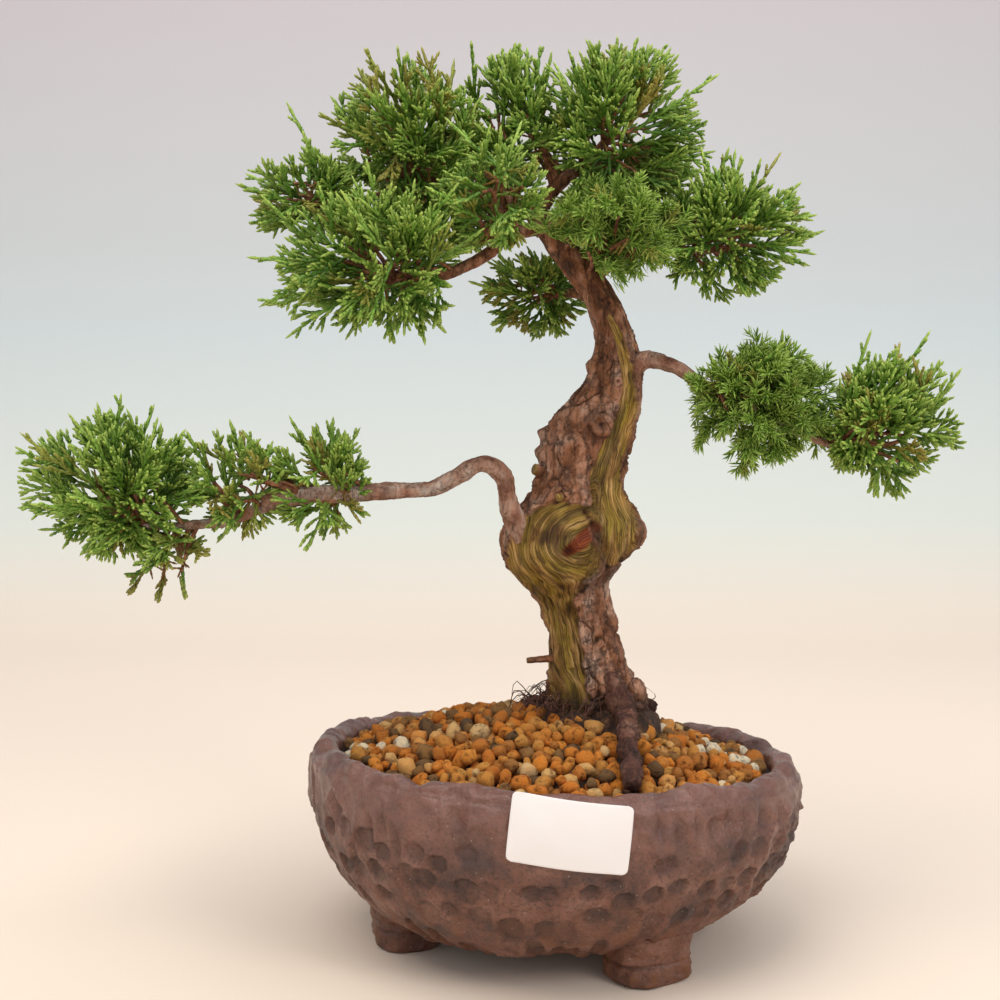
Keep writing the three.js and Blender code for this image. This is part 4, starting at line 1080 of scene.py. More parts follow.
def settle_granules(settings, random):
    """Middles and radii of granules poured on the mound: each one rests on the mound or on those under it."""
    keep_out = wood_near_ground()
    cx, cy, half_x, half_y = trunk_section(np.array([14.0]))
    low, high = settings.granule_small / MM / 2, settings.granule_large / MM / 2
    area = math.pi * (INNER_RADIUS - 1) ** 2
    mean = (low + high) / 2
    count = int(2.1 * area / (math.pi * mean**2) * 0.8)
    middles, radii = np.zeros((count, 3)), np.zeros(count)
    placed = 0
    for _ in range(count):
        r = low + (high - low) * random.random() ** 1.5
        out = (INNER_RADIUS - 0.6 - r) * np.sqrt(random.random(10))
        turn = 2 * math.pi * random.random(10)
        x, y = out * np.cos(turn), out * np.sin(turn)
        rest = mound_height(x, y) - 3.6 + 0.5 * r
        if placed:
            near = middles[:placed]
            gap = np.hypot(x[:, None] - near[:, 0], y[:, None] - near[:, 1])
            sum_radii = 0.86 * (r + radii[:placed])
            over = np.where(gap < sum_radii, near[:, 2] + np.sqrt(np.maximum(sum_radii**2 - gap**2, 0)) * 0.8, -99)
            rest = np.maximum(rest, over.max(1))
        over_mound = rest - mound_height(x, y)
        in_trunk = ((x - cx) / (half_x + 0.4 * r)) ** 2 + ((y - cy) / (half_y + 0.4 * r)) ** 2 < 1
        away = np.hypot(x[:, None] - keep_out[:, 0], y[:, None] - keep_out[:, 1])
        in_root = (away < keep_out[:, 3] + 0.3 * r).any(1) & (rest[:] < 99)
        dark = np.hypot(x - BALL_MIDDLE[0], y - BALL_MIDDLE[1]) < 18 + 5 * smooth_noise(np.stack([x, y, 0 * x], -1), 9, 121)
        score = over_mound + 50 * in_trunk + 50 * in_root + 30 * (dark & (random.random(10) > 0.12))
        best = int(np.argmin(score))
        if score[best] > 1.6:
            continue
        middles[placed] = x[best], y[best], rest[best]
        radii[placed] = r
        placed += 1
    return middles[:placed], radii[:placed]


def make_granules(settings, material):
    """The heap of loose granules."""
    random = np.random.default_rng(7)
    middles, radii = settle_granules(settings, random)
    count = len(middles)
    turns = random.normal(size=(count, 4))
    turns = unit(turns)
    tone = random.random(count)
    left_edge = np.exp(-(((middles[:, 0] + 70) / 9) ** 2) - ((middles[:, 1] + 12) / 16) ** 2)
    right_edge = np.exp(-(((middles[:, 0] - 62) / 12) ** 2) - ((middles[:, 1] + 8) / 22) ** 2)
    pale = random.random(count) < 0.35 * left_edge + 0.3 * right_edge + 0.012
    tone = np.where(pale, 0.975 + 0.02 * random.random(count), tone * 0.95)
    tree = grown_on_points("Granules on points", "Granule shapes", "NodeSocketCollection")
    sizes = radii[:, None] * np.ones(3)
    piece = grow("soil_granules", tree, "Granule shapes", pebble_shapes(random), 1.0, 5, material, middles, turns, sizes, {"tone": tone})
    return hand_over(piece, material, "granules", "soil_bed")


def make_root_ball(material, root_material):
    """The crusty top of the old root ball round the trunk's base, and the dead hair roots that stick out of it."""
    rows, columns = 60, 150
    turn = np.linspace(0, 2 * math.pi, columns, endpoint=False)
    share = np.linspace(0, 1, rows)
    over = np.linspace(0, 1, rows - 14) * math.pi / 2
    out = BALL_RADIUS * np.concatenate([np.linspace(0.78, 0.98, 14), np.cos(over) * 0.98 + 0.012])
    level = np.concatenate([np.linspace(-34, -15, 14), -14 + 13 * np.sin(over)])
    points = np.stack([out[:, None] * np.cos(turn), out[:, None] * np.sin(turn), BALL_TOP + level[:, None] + 0 * turn], -1)
    flat = points.reshape(-1, 3)
    crust = rough_noise(flat, 6, 131, 4).reshape(rows, columns)
    lift = smooth_step(0.15, 0.5, share)[:, None]
    points[..., 2] += lift * 2.2 * crust
    points[..., :2] *= (1 + 0.05 * lift * crust)[..., None]
    points[..., :2] += BALL_MIDDLE
    skin = Skin()
    skin.add_rings(points, {"tone": 0.1})
    ball = hand_over(skin.piece("old_root_mass"), material, "root_mass", "root_ball")

    random = np.random.default_rng(17)
    hairs = Skin()
    for _ in range(90):
        a = random.uniform(0, 2 * math.pi)
        if random.random() < 0.45:
            a = random.uniform(math.radians(165), math.radians(265))
        r = random.uniform(11, 22)
        start = np.array([BALL_MIDDLE[0] + r * math.cos(a), BALL_MIDDLE[1] + r * math.sin(a), BALL_TOP - LIP - 3])
        reach = random.uniform(4, 11)
        sway = random.normal(size=(2, 3)) * 1.8
        middle = start + np.array([math.cos(a), math.sin(a), 0.8]) * reach * 0.45 + sway[0]
        end = start + np.array([math.cos(a), math.sin(a), -0.15]) * reach + sway[1]
        end[2] = max(end[2], -4 + mound_height(end[0], end[1]) - LIP)
        thick = random.uniform(0.1, 0.3)
        tube(hairs, [(*start, thick), (*middle, thick * 0.8), (*end, thick * 0.4)], 8, 5, 0.1, 141, kind=2.0)
    hand_over(hairs.piece("hair_roots"), root_material, "root_mass", "root_ball")
    return ball


# ------------------------------------------------------------------ the wood
def make_trunk(settings, material):
    """The trunk: bark in flaking plates, the bare twisted deadwood on its front, knots and cracks."""
    rows, columns = 430, 208
    bottom, top = TRUNK[0][0], TRUNK[-1][0]
    height = np.linspace(bottom, top, rows)
    cx, cy, half_x, half_y = (v[:, None] for v in trunk_section(height))
    turn = np.linspace(0, 2 * math.pi, columns, endpoint=False)[None, :]
    level = height[:, None] + 0 * turn
    x = cx + half_x * np.cos(turn)
    y = cy + half_y * np.sin(turn)
    lean = np.gradient(cx[:, 0], height)[:, None]
    normal = np.stack([np.cos(turn) / half_x, np.sin(turn) / half_y, 0 * turn - lean * np.cos(turn) / half_x], -1)
    normal = unit(normal)
    points = np.stack([x, y, level + LIP], -1)
    flat = points.reshape(-1, 3)
    shape = level.shape
    front = smooth_step(0.25, -0.1, np.sin(turn))

    def grid(values):
        return values.reshape(shape)

    # Bark in overlapping flakes, long up the trunk, over broader plates with deep gaps between some of them.
    warp = np.stack([rough_noise(flat, 9, 200 + k, 3) for k in range(3)], -1)
    nearest, second, own = cell_noise((flat + 3.5 * warp) * (1, 1, 0.42), 6.5, 211)
    gap = grid(1 - smooth_step(0, 0.12, second - nearest)) * smooth_step(-0.1, 0.35, grid(smooth_noise(flat, 11, 212)))
    large, large_edge = (grid(v) for v in flakes((flat + 1.5 * warp) * (1, 1, 0.4), 8, 221, 9))
    small, small_edge = (grid(v) for v in flakes(flat * (1, 1, 0.55), 3.2, 231, 7))
    broad = grid(rough_noise(flat * (1, 1, 0.6), 14, 241, 3))
    rough = grid(rough_noise(flat * (1, 1, 0.5), 3, 251, 3))
    bark = 0.6 * (large - 4.5) + 0.28 * (small - 3.5) + 0.9 * (grid(own) - 0.5) - 1.6 * gap + 0.6 * rough - 0.5 * large_edge
    plate = np.clip(0.45 + 0.15 * (large - 4.5) + 0.1 * (small - 3.5) + 0.3 * (grid(own) - 0.5), 0, 1)

    # Where the bark is gone. Edges are ragged.
    ragged = 0.3 * grid(rough_noise(flat, 5, 261, 5))
    bare = np.full(shape, 99.0)
    for path in DEADWOOD:
        bare = np.minimum(bare, stroke(x, level, path))
    deadwood = smooth_step(1.06, 0.94, bare + ragged) * front
    edge_lip = np.exp(-(((bare + ragged - 1.12) / 0.12) ** 2)) * front

    # Fibres follow the strip up the trunk, swirl round the old wound, and run down to the roots.
    line = np.asarray(DEADWOOD[0], float)[::-1]
    strip_x = np.interp(level, line[:, 1], line[:, 0])
    # The swirl's fibres are nested bends, open towards the crack, and its outer ones turn down the trunk.
    open_x, open_z = math.cos(SWIRL_OPEN), math.sin(SWIRL_OPEN)
    from_x, from_z = x - SWIRL_MIDDLE[0], level - SWIRL_MIDDLE[1]
    ahead = from_x * open_x + from_z * open_z
    aside = from_z * open_x - from_x * open_z
    bend = np.hypot(np.minimum(ahead, 0), aside)
    is_low = smooth_step(68, 50, level)
    down = 0.75 * (cx - x) + 12.5
    swirl_part = smooth_step(14.5, 11.5, x - 0.1 * (level - 75)) * smooth_step(96, 86, level)
    swirl_part = np.maximum(swirl_part, smooth_step(64, 60, level))
    across = swirl_part * ((1 - is_low) * bend + is_low * down) + (1 - swirl_part) * (1.1 * (strip_x - x) + 30)
    across = across + 1.5 * grid(smooth_noise(flat, 11, 271)) + 0.5 * grid(rough_noise(flat, 3.5, 272, 2))
    round_bend = 12 * np.arctan2(aside, np.maximum(-ahead, 0) + 2) * 1.0
    along = swirl_part * ((1 - is_low) * round_bend + is_low * (level - 79)) + (1 - swirl_part) * (level - 140)
    line_place = np.stack([across, 0.06 * along, 0 * across], -1).reshape(-1, 3)
    wide = grid(smooth_noise(line_place, 3.1, 281))
    narrow = grid(smooth_noise(line_place * (1, 1.6, 1), 1.15, 282))
    checks = grid(smooth_noise(line_place * (1, 2.6, 1), 0.9, 283))
    fibre = settings.fibre_relief / MM * (0.85 * wide + 0.4 * narrow - 0.7 * smooth_step(0.35, 0.7, checks) + 0.3 * rough)
    # Grooves and checks of the fibres, darkened as painted shade.
    groove = np.clip(smooth_step(-0.35, -0.85, wide + 0.6 * narrow) + smooth_step(0.35, 0.65, checks), 0, 1)

    # The large forms of the front.
    def dome(at_x, at_z, size_x, size_z, turn_by=0.0):
        dx, dz = x - at_x, level - at_z
        u = dx * math.cos(turn_by) + dz * math.sin(turn_by)
        v = -dx * math.sin(turn_by) + dz * math.cos(turn_by)
        return np.exp(-((u / size_x) ** 2) - (v / size_z) ** 2) * front

    wound = smooth_step(1.1, 0.6, stroke(x, level, WOUND) + 0.6 * ragged) * front
    form = 3.4 * dome(-2, 68, 12, 13) + 2.6 * dome(21, 76, 8, 9) + 1.2 * dome(17, 96, 6, 12)
    form -= 2.6 * front * np.exp(-(stroke(x, level, CRACK) ** 2))
    form -= 2.4 * front * np.exp(-(stroke(x, level, UNDER_LOBE) ** 2))
    form -= 1.3 * front * np.exp(-(stroke(x, level, DEADWOOD_DIP) ** 2))
    form -= 1.5 * wound
    hole = np.exp(-((x - WOUND_HOLE[0]) ** 2 + (level - WOUND_HOLE[1]) ** 2) / WOUND_HOLE[2] ** 2) * front
    form -= 2.0 * hole
    for at_x, at_z, size, out in LUMPS:
        form += out * np.exp(-((x - at_x) ** 2 + (level - at_z) ** 2) / size**2)
    knot_shade = np.zeros(shape)
    for at_x, at_z, size in KNOTS:
        reach = np.hypot(x - at_x, level - at_z) / size
        form += front * size * (0.42 * np.exp(-(((reach - 0.75) / 0.3) ** 2)) - 0.25 * np.exp(-((reach / 0.4) ** 2)))
        knot_shade = np.maximum(knot_shade, front * np.maximum(np.exp(-((reach / 0.35) ** 2)), 0.7 * np.exp(-(((reach - 1.15) / 0.12) ** 2))))
    flutes = 0.9 * np.sin(3 * turn + 0.05 * level + 1.2) * smooth_step(60, 30, level) + 0.5 * broad

    thin = np.clip(half_x / 12, 0.6, 1)
    lift = form * 1.0 + flutes * thin + settings.bark_relief / MM * thin * bark * (1 - deadwood)
    lift = lift + deadwood * (fibre * thin - 0.7 * thin) + 0.5 * edge_lip * thin
    points = points + normal * lift[..., None]

    red = smooth_step(1.1, 0.6, stroke(x, level, RED_BARK)) * front
    patch = grid(smooth_noise(flat, 6, 291))
    # Painted shade: gaps between plates, flake edges, the bark's edge round the deadwood, the knots, the crack and the
    # hollow under the lobe are darkened; in the crack and under the lobe the pale deadwood is also held back.
    rim = np.exp(-(((bare + ragged - 1.03) / 0.05) ** 2)) * front
    gap_and_edge_shade = 0.95 * gap + large_edge * smooth_step(-0.3, 0.5, patch) + 0.5 * small_edge * smooth_step(0.3, -0.5, patch)
    gap_and_edge_shade = np.clip(gap_and_edge_shade, 0, 1) * (1 - 0.8 * deadwood) + 0.6 * rim
    hollow = np.exp(-(stroke(x, level, CRACK) ** 2)) + 0.8 * np.exp(-(stroke(x, level, UNDER_LOBE) ** 2))
    crevice = np.clip(gap_and_edge_shade * 0.85 + knot_shade + 0.75 * hollow * front, 0, 1)
    # Painted shade in the wound hole and along the crack, and the trunk darker towards its base.
    hollow_shade_dark_base_mask = np.clip(0.8 * hole + 0.35 * dome(14, 72, 3, 10) + 0.75 * smooth_step(24, 13, level + 4 * broad), 0, 1)
    values = {
        "plate": np.clip(plate + 0.3 * broad + 0.35 * red, 0, 1),
        "crevice": crevice * (1 - 0.5 * red),
        "deadwood": np.clip(deadwood - 0.6 * hollow * front, 0, 1),
        "wound": np.maximum(wound, 0.0),
        "across": across,
        "along": along,
        "groove": groove * 0.55,
        "kind": np.zeros(shape),
        "earth": hollow_shade_dark_base_mask,
    }
    skin = Skin()
    skin.add_rings(points, values)
    trunk = skin.piece("twisted_trunk")
    return hand_over(trunk, material, "bark", "trunk")


def make_stubs(material):
    """Stubs of cut twigs, with a flat pale end."""
    skin = Skin()
    for number, (start, end, radius) in enumerate(STUBS):
        start, end = np.array(start, float), np.array(end, float)
        rows = [(*start, radius * 1.3), (*(start * 0.5 + end * 0.5), radius * 1.1), (*end, radius * 0.95)]
        tube(skin, rows, 16, 16, 0.5, 301 + number, cut_end=True)
    return hand_over(skin.piece("twig_stubs"), material, "bark", "trunk")


def make_branches(settings, material):
    """The primary branches and the roots that show."""
    relief = settings.branch_relief / MM
    skin = Skin()
    tube(skin, LEFT_BRANCH, 340, 44, relief, 311, kind=1.0, hollow_end=True)
    tube(skin, LEFT_TWIG, 110, 20, relief, 321, kind=1.0)
    tube(skin, RIGHT_BRANCH, 220, 36, relief, 331, kind=1.0)
    for number, rows in enumerate(CROWN_LIMBS):
        tube(skin, rows, 90, 24, relief * 1.1, 341 + number, kind=0.0)
    hand_over(skin.piece("branches"), material, "bark", "trunk")
    roots = Skin()
    for number, rows in enumerate(ROOTS):
        tube(roots, np.array(rows) * (1, 1, 1, 0.86), 170, 48, relief * 2.4, 361 + number, kind=2.0)
    return hand_over(roots.piece("surface_roots"), material, "bark", "trunk")


# ------------------------------------------------------------------ foliage
class Pad:
    """One mass of foliage: its middle and half sizes in mm, from its CAD node."""

    def __init__(self, node):
        low, high = (np.array(c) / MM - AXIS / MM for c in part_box(node))
        self.node = node
        self.middle, self.half = (low + high) / 2, (high - low) / 2

    def reach(self, points):
        """0 at the middle of the mass and 1 at its surface."""
        return np.linalg.norm((np.asarray(points) - self.middle) / self.half, axis=-1)

    def to_surface(self, point, direction):
        """How far it is from a point inside to the surface, in mm."""
        p, d = (point - self.middle) / self.half, direction / self.half
        a, b, c = d @ d, 2 * p @ d, p @ p - 1
        return (-b + math.sqrt(max(b * b - 4 * a * c, 0))) / (2 * a)


def wood_line():
    """Points along every branch in order, for the twigs to start from."""
    limbs = [LEFT_BRANCH, LEFT_TWIG, RIGHT_BRANCH, *CROWN_LIMBS]
    lines = []
    for rows in limbs:
        line = smooth_path(rows, 60)
        line[:, 2] += LIP
        lines.append(line)
    return lines


def plan_twigs(pad, lines, count, random):
    """Twigs from the nearest branch into the mass, each a line of x, y, z and radius."""
    twigs = []
    golden = math.pi * (3 - math.sqrt(5))
    for k in range(count):
        z = 1 - 2 * (k + 0.5) / count
        ring = math.sqrt(1 - z * z)
        spread = np.array([ring * math.cos(golden * k), ring * math.sin(golden * k), z])
        end = pad.middle + pad.half * spread * random.uniform(0.36, 0.6)
        best = min(lines, key=lambda line: np.linalg.norm(line[:, :3] - end, axis=1).min())
        nearest = int(np.argmin(np.linalg.norm(best[:, :3] - end, axis=1)))
        start = best[max(nearest - 7, 0), :3]
        thick = min(best[max(nearest - 7, 0), 3] * 0.7, 0.8)
        gap = np.linalg.norm(end - start)
        middle = (start + end) / 2 + random.normal(size=3) * 0.08 * gap + np.array([0, 0, 0.06 * gap])
        twigs.append(smooth_path([(*start, thick), (*middle, thick * 0.8), (*end, 0.42)], 14))
    return twigs


def spray_axes(pad, twigs, settings, random):
    """Starts, directions and lengths of the leafy sprays along the twigs, pointing out of the mass."""
    longest = settings.spray_length / MM
    for twig in twigs:
        ahead = unit(twig[-1, :3] - twig[-4, :3])
        for share in np.linspace(0.34, 1, settings.sprays_per_twig):
            start = twig[min(int(share * 13), 13), :3]
            if pad.reach(start) > 0.86:
                continue
            outward = unit((start - pad.middle) / pad.half**2 + 1e-6)
            aim = 0.7 * outward + 0.6 * ahead + 0.55 * random.normal(size=3) + np.array([0, 0, 0.25])
            aim = unit(aim)
            length = min(pad.to_surface(start, aim) * random.uniform(0.72, 1.28), longest)
            if length > 5:
                yield start, aim, length


class Leaves:
    """Places, directions, sizes and values of leafy shoots or needles. None grows in front of the bare upper trunk."""

    def __init__(self):
        self.place, self.aim, self.size = [], [], []
        self.low, self.high = (np.array(corner) / MM - AXIS / MM for corner in CAD_BOX)
        self.values = {"tone": [], "depth": [], "growing": [], "age": []}

    def add(self, place, aim, girth, length, **values):
        room = np.where(aim > 0, self.high - place, place - self.low) / np.maximum(np.abs(aim), 1e-6)
        length = min(length, room.min())
        end = place + aim * length
        ends = np.array([place, end])
        hides = (stroke(ends[:, 0], ends[:, 2] - LIP, BARE_TRUNK) < 1) & (ends[:, 1] < 4)
        if length < 1 or hides.any():
            return
        self.place.append(place)
        self.aim.append(aim)
        self.size.append((girth, girth, length))
        for key, value in values.items():
            self.values[key].append(value)


def grow_spray(leaves, pad, start, aim, length, old, random):
    """A spray: a cord-like axis, side shoots that bend towards its direction, and a few short shoots on those."""
    normal = unit(np.cross(aim, random.normal(size=3)))
    side = np.cross(normal, aim)
    tone = np.clip(random.normal(0.5, 0.2), 0, 1)
    age = float(random.random() < old) * random.uniform(0.4, 0.9)
    curl = random.normal(size=3) * 0.006 + np.array([0, 0, 0.006])

    def at(s):
        return start + aim * s + curl * s * s

    def lay(place, direction, girth, reach, growing):
        # How deep inside the mass the leaf is, which darkens it as painted shade.
        depth = float(np.clip(1.2 - pad.reach(place + direction * reach * 0.6), 0, 1))
        leaves.add(place, direction, girth, reach, tone=np.clip(tone + random.normal(0, 0.12), 0, 1),
                   depth=depth, growing=growing, age=age)

    def lay_bent(place, direction, reach, girth):
        if reach < 4:
            lay(place, direction, girth, reach, 1.0)
            return
        half = reach * 0.45
        lay(place, direction, girth, half * 1.1, 0.25)
        lay(place + direction * half, unit(direction + 0.3 * aim), girth * 0.95, reach - half, 1.0)

    pieces = max(2, round(length / 7.5))
    marks = np.linspace(0, length, pieces + 1)
    for i in range(pieces):
        low, high = at(marks[i]), at(marks[i + 1])
        last = i == pieces - 1
        lay(low, unit(high - low), 0.98 - 0.1 * i / pieces, np.linalg.norm(high - low) * (1.0 if last else 1.1), float(last))
    s, flip = length * random.uniform(0.18, 0.3), 1
    while s < length - 3.2:
        flip = -flip
        spread = random.uniform(0.36, 0.6)
        ahead = unit(at(s + 0.5) - at(s))
        direction = unit(ahead * math.cos(spread) + side * flip * math.sin(spread) + normal * random.normal(0, 0.16))
        reach = min(0.62 * (length - s) + 2.6, 13) * random.uniform(0.75, 1.1)
        room = pad.to_surface(at(s), direction) if pad.reach(at(s)) < 0.97 else 3.0
        reach = max(min(reach, room * 1.04 + 1), 2)
        lay_bent(at(s), direction, reach, 0.84)
        if reach > 6:
            for turn, share in ((-1, random.uniform(0.3, 0.42)), (1, random.uniform(0.46, 0.6))):
                out = unit(direction * 0.9 + side * turn * 0.36 + normal * random.normal(0, 0.16))
                lay(at(s) + direction * reach * share, out, 0.8, random.uniform(2.8, 5.4), 1.0)
        s += random.uniform(2.1, 3.1)


def grow_needle_sprig(stems, needles, pad, start, aim, length, old, random, side_sprigs=True):
    """A juvenile sprig: whorls of three sharp needles up a thin green stem, denser at its tip."""
    tone = np.clip(random.normal(0.55, 0.2), 0, 1)
    age = float(random.random() < old) * 0.6
    normal = unit(np.cross(aim, random.normal(size=3)))
    side = np.cross(normal, aim)
    # How deep inside the mass the sprig is, which darkens it as painted shade.
    depth = float(np.clip(1.1 - pad.reach(start + aim * length * 0.6), 0, 1))
    stems.add(start, aim, 0.42, length, tone=tone, depth=depth, growing=1.0, age=age)
    s = length * 0.15
    twist = random.uniform(0, 2)
    while s < length:
        share = s / length
        spread = 0.95 - 0.55 * share
        for k in range(3):
            a = twist + k * 2 * math.pi / 3
            out = unit(aim * math.cos(spread) + (normal * math.cos(a) + side * math.sin(a)) * math.sin(spread) + 0.1 * random.normal(size=3))
            reach = (5.2 - 2.2 * share**2) * random.uniform(0.8, 1.1)
            needles.add(start + aim * s, out, 0.52, reach, tone=np.clip(tone + random.normal(0, 0.1), 0, 1), depth=depth, growing=0.9, age=age)
        twist += math.pi / 3 + 0.1
        s += 1.25
    if side_sprigs and length > 8:
        s, flip = length * 0.3, 1
        while s < length * 0.85:
            out = unit(aim * 0.78 + side * flip * 0.62 + normal * random.normal(0, 0.25))
            grow_needle_sprig(stems, needles, pad, start + aim * s, out, min(0.5 * (length - s) + 3, 7.5), old, random, False)
            flip = -flip
            s += random.uniform(2.6, 3.6)


def make_foliage(settings, leaf_material, needle_material, bark_material):
    """Every mass of foliage, and the twigs that carry them."""
    shoot = ringed_shape("scale_leaf_shoot", ((0, 0.76), (0.25, 1), (0.5, 0.84), (0.7, 0.92), (0.88, 0.6)), 4, twist=math.pi / 4)
    needle = ringed_shape("awl_needle", ((0, 0.6), (0.4, 1.0), (0.75, 0.66)), 4, flatten=0.4)
    tree = grown_on_points("Shoots on points", "Shoot", "NodeSocketObject")
    lines = wood_line()
    bark = Skin()
    for number, node in enumerate(FOLIAGE):
        random = np.random.default_rng(400 + number)
        pad = Pad(node)
        old = OLDER_LEAVED.get(node, 0.06)
        bulk = float(np.prod(pad.half)) ** (1 / 3)
        twigs = plan_twigs(pad, lines, round(settings.twigs_per_mass * (bulk / 25) ** 1.3 * THINNER.get(node, 1)), random)
        for twig in twigs:
            rows = twig[::3].copy()
            rows[:, 2] -= LIP
            tube(bark, rows, 16, 7, 0.4, 500 + number, kind=0.0)
        shoots, needles = Leaves(), Leaves()
        needle_leaved = node in NEEDLE_LEAVED
        for start, aim, length in spray_axes(pad, twigs, settings, random):
            if needle_leaved and random.random() < 0.9:
                grow_needle_sprig(shoots, needles, pad, start, aim, min(length, 17), old, random)
            else:
                grow_spray(shoots, pad, start, aim, length, old, random)
        # Withered brown shoots close to the twigs.
        for _ in range(26):
            twig = twigs[int(random.integers(len(twigs)))]
            place = twig[int(random.integers(3, 13)), :3]
            droop = unit(random.normal(size=3) + np.array([0, 0, -0.7]))
            shoots.add(place, droop, 0.6, random.uniform(3, 8), tone=0.3, depth=0.3, growing=0.0, age=random.uniform(1.3, 2))
        for part, leaves, shape, material in (("", shoots, shoot, leaf_material), ("_needles", needles, needle, needle_material)):
            if not leaves.place:
                continue
            spins = random.uniform(0, 2 * math.pi, len(leaves.place))
            turns = turn_to(np.array(leaves.aim), spins)
            piece = grow(node + part, tree, "Shoot", shape, settings.shoot_girth / MM / 2, 3, material,
                         np.array(leaves.place), turns, np.array(leaves.size), leaves.values)
            slot = "needle_foliage" if needle_leaved else "scale_foliage"
            piece.name = node.replace("_foliage", "") + ("_needles" if part else "_shoots")
            hand_over(piece, material, slot, node)
    return hand_over(bark.piece("fine_twigs"), bark_material, "bark", "trunk")


# ------------------------------------------------------------------ label
def make_label(settings, material):
    """The blank sticker, round at its corners, that follows the wall."""
    width, height = LABEL_SIZE
    corner, thickness = 1.6, 0.25
    columns, rows = 90, 46
    v = np.linspace(-1, 1, rows)
    u = np.linspace(-1, 1, columns)
    to_edge = np.clip((np.abs(v) * height / 2 - (height / 2 - corner)) / corner, 0, 1)
    half = width / 2 - corner * (1 - np.sqrt(1 - to_edge**2))
    x = half[:, None] * u[None, :]
    z = (v * height / 2)[:, None] + 0 * x
    x, z = x * math.cos(LABEL_TILT) - z * math.sin(LABEL_TILT), x * math.sin(LABEL_TILT) + z * math.cos(LABEL_TILT)
    level = LABEL_AT + z
    turn = x / BOWL_RADIUS + LABEL_TURN

    def layer(lift):
        radius = wall_radius(level) + lift
        points = np.stack([radius * np.sin(turn), -radius * np.cos(turn), level], -1)
        ripple = smooth_noise(points.reshape(-1, 3), 7, 601).reshape(rows, columns)
        edge_lift = 0.35 * smooth_step(0.8, 1, np.abs(u))[None, :] * smooth_step(0.2, 0.9, np.abs(v))[:, None]
        radius = radius + 0.16 * ripple + edge_lift
        points = np.stack([radius * np.sin(turn), -radius * np.cos(turn), level], -1)
        return hand_formed(points)

    back, front = layer(settings.label_lift / MM), layer(settings.label_lift / MM + thickness)
    index = np.arange(rows * columns).reshape(rows, columns)
    quads = np.stack([index[:-1, :-1], index[:-1, 1:], index[1:, 1:], index[1:, :-1]], -1).reshape(-1, 4)
    count = rows * columns
    faces = quads.tolist() + (quads[:, ::-1] + count).tolist()
    border = np.r_[index[0, :-1], index[:-1, -1], index[-1, :0:-1], index[:0:-1, 0]]
    nxt = np.roll(border, -1)
    faces += np.stack([nxt, border, border + count, nxt + count], -1).tolist()
    skin = Skin()
    skin.add(np.vstack([front.reshape(-1, 3), back.reshape(-1, 3)]), faces, {"tone": 1.0})
    return hand_over(skin.piece("blank_sticker"), material, "label_paper", "blank_label")


# ------------------------------------------------------------------ settings that a user would change
def colour_setting(name, text, description):
    return bpy.props.FloatVectorProperty(name=name, description=description, subtype="COLOR", size=3, min=0, max=1, default=linear(text))


def length_setting(name, size_mm, description):
    return bpy.props.FloatProperty(name=name, description=description, default=size_mm * MM, min=0, unit="LENGTH", precision=5)


class BONSAI_PG_bowl(bpy.types.PropertyGroup):
    clay: colour_setting("Clay", "6d4536", "Main colour of the fired clay")
    clay_dark: colour_setting("Dark Clay", "45312d", "Darker patches of the clay")
    clay_light: colour_setting("Light Clay", "855e50", "Lighter patches of the clay")
    # Lighter clay of the upper band: partly rubbed clay, partly painted sheen.
    clay_top: colour_setting("Rubbed Clay", "8a645b", "Clay of the upper band, rubbed by hands")
    dust: colour_setting("Dust", "784829", "Dry dust on the lower part")
    dent_width: length_setting("Dent Width", 8.2, "Width of the round dents in the wall")
    dent_depth: length_setting("Dent Depth", 2.2, "Depth of the round dents in the wall")
    label: colour_setting("Label", "efe9e7", "Colour of the blank label")
    label_lift: length_setting("Label Lift", 0.75, "Distance of the label from the mean wall")


class BONSAI_PG_soil(bpy.types.PropertyGroup):
    granule_small: length_setting("Smallest Granule", 3.6, "Diameter of the smallest granules")
    granule_large: length_setting("Largest Granule", 7.4, "Diameter of the largest granules")
    clay_brown: colour_setting("Brown Granules", "b87738", "Colour of the browner granules")
    clay_orange: colour_setting("Orange Granules", "d48333", "Colour of the most common granules")
    pumice: colour_setting("Pumice", "efe2c4", "Colour of the palest granules")


class BONSAI_PG_wood(bpy.types.PropertyGroup):
    bark_relief: length_setting("Bark Relief", 0.8, "Height of the plates of bark")
    fibre_relief: length_setting("Fibre Relief", 0.8, "Height of the ridges of bare wood")
    branch_relief: length_setting("Branch Relief", 0.5, "Unevenness of the branches")
    bark_dark: colour_setting("Dark Bark", "5f3d2b", "Darkest plates of bark")
    bark: colour_setting("Bark", "a26b47", "Most plates of bark")
    bark_pink: colour_setting("Pink Bark", "c49174", "Paler plates of bark")
    bark_light: colour_setting("Light Bark", "d0ad95", "Palest flakes of bark")
    deadwood_dark: colour_setting("Dark Deadwood", "6e4c24", "Darker fibres of bare wood")
    deadwood: colour_setting("Deadwood", "b08a4c", "Most fibres of bare wood")
    deadwood_light: colour_setting("Light Deadwood", "d9b476", "Lighter fibres of bare wood")


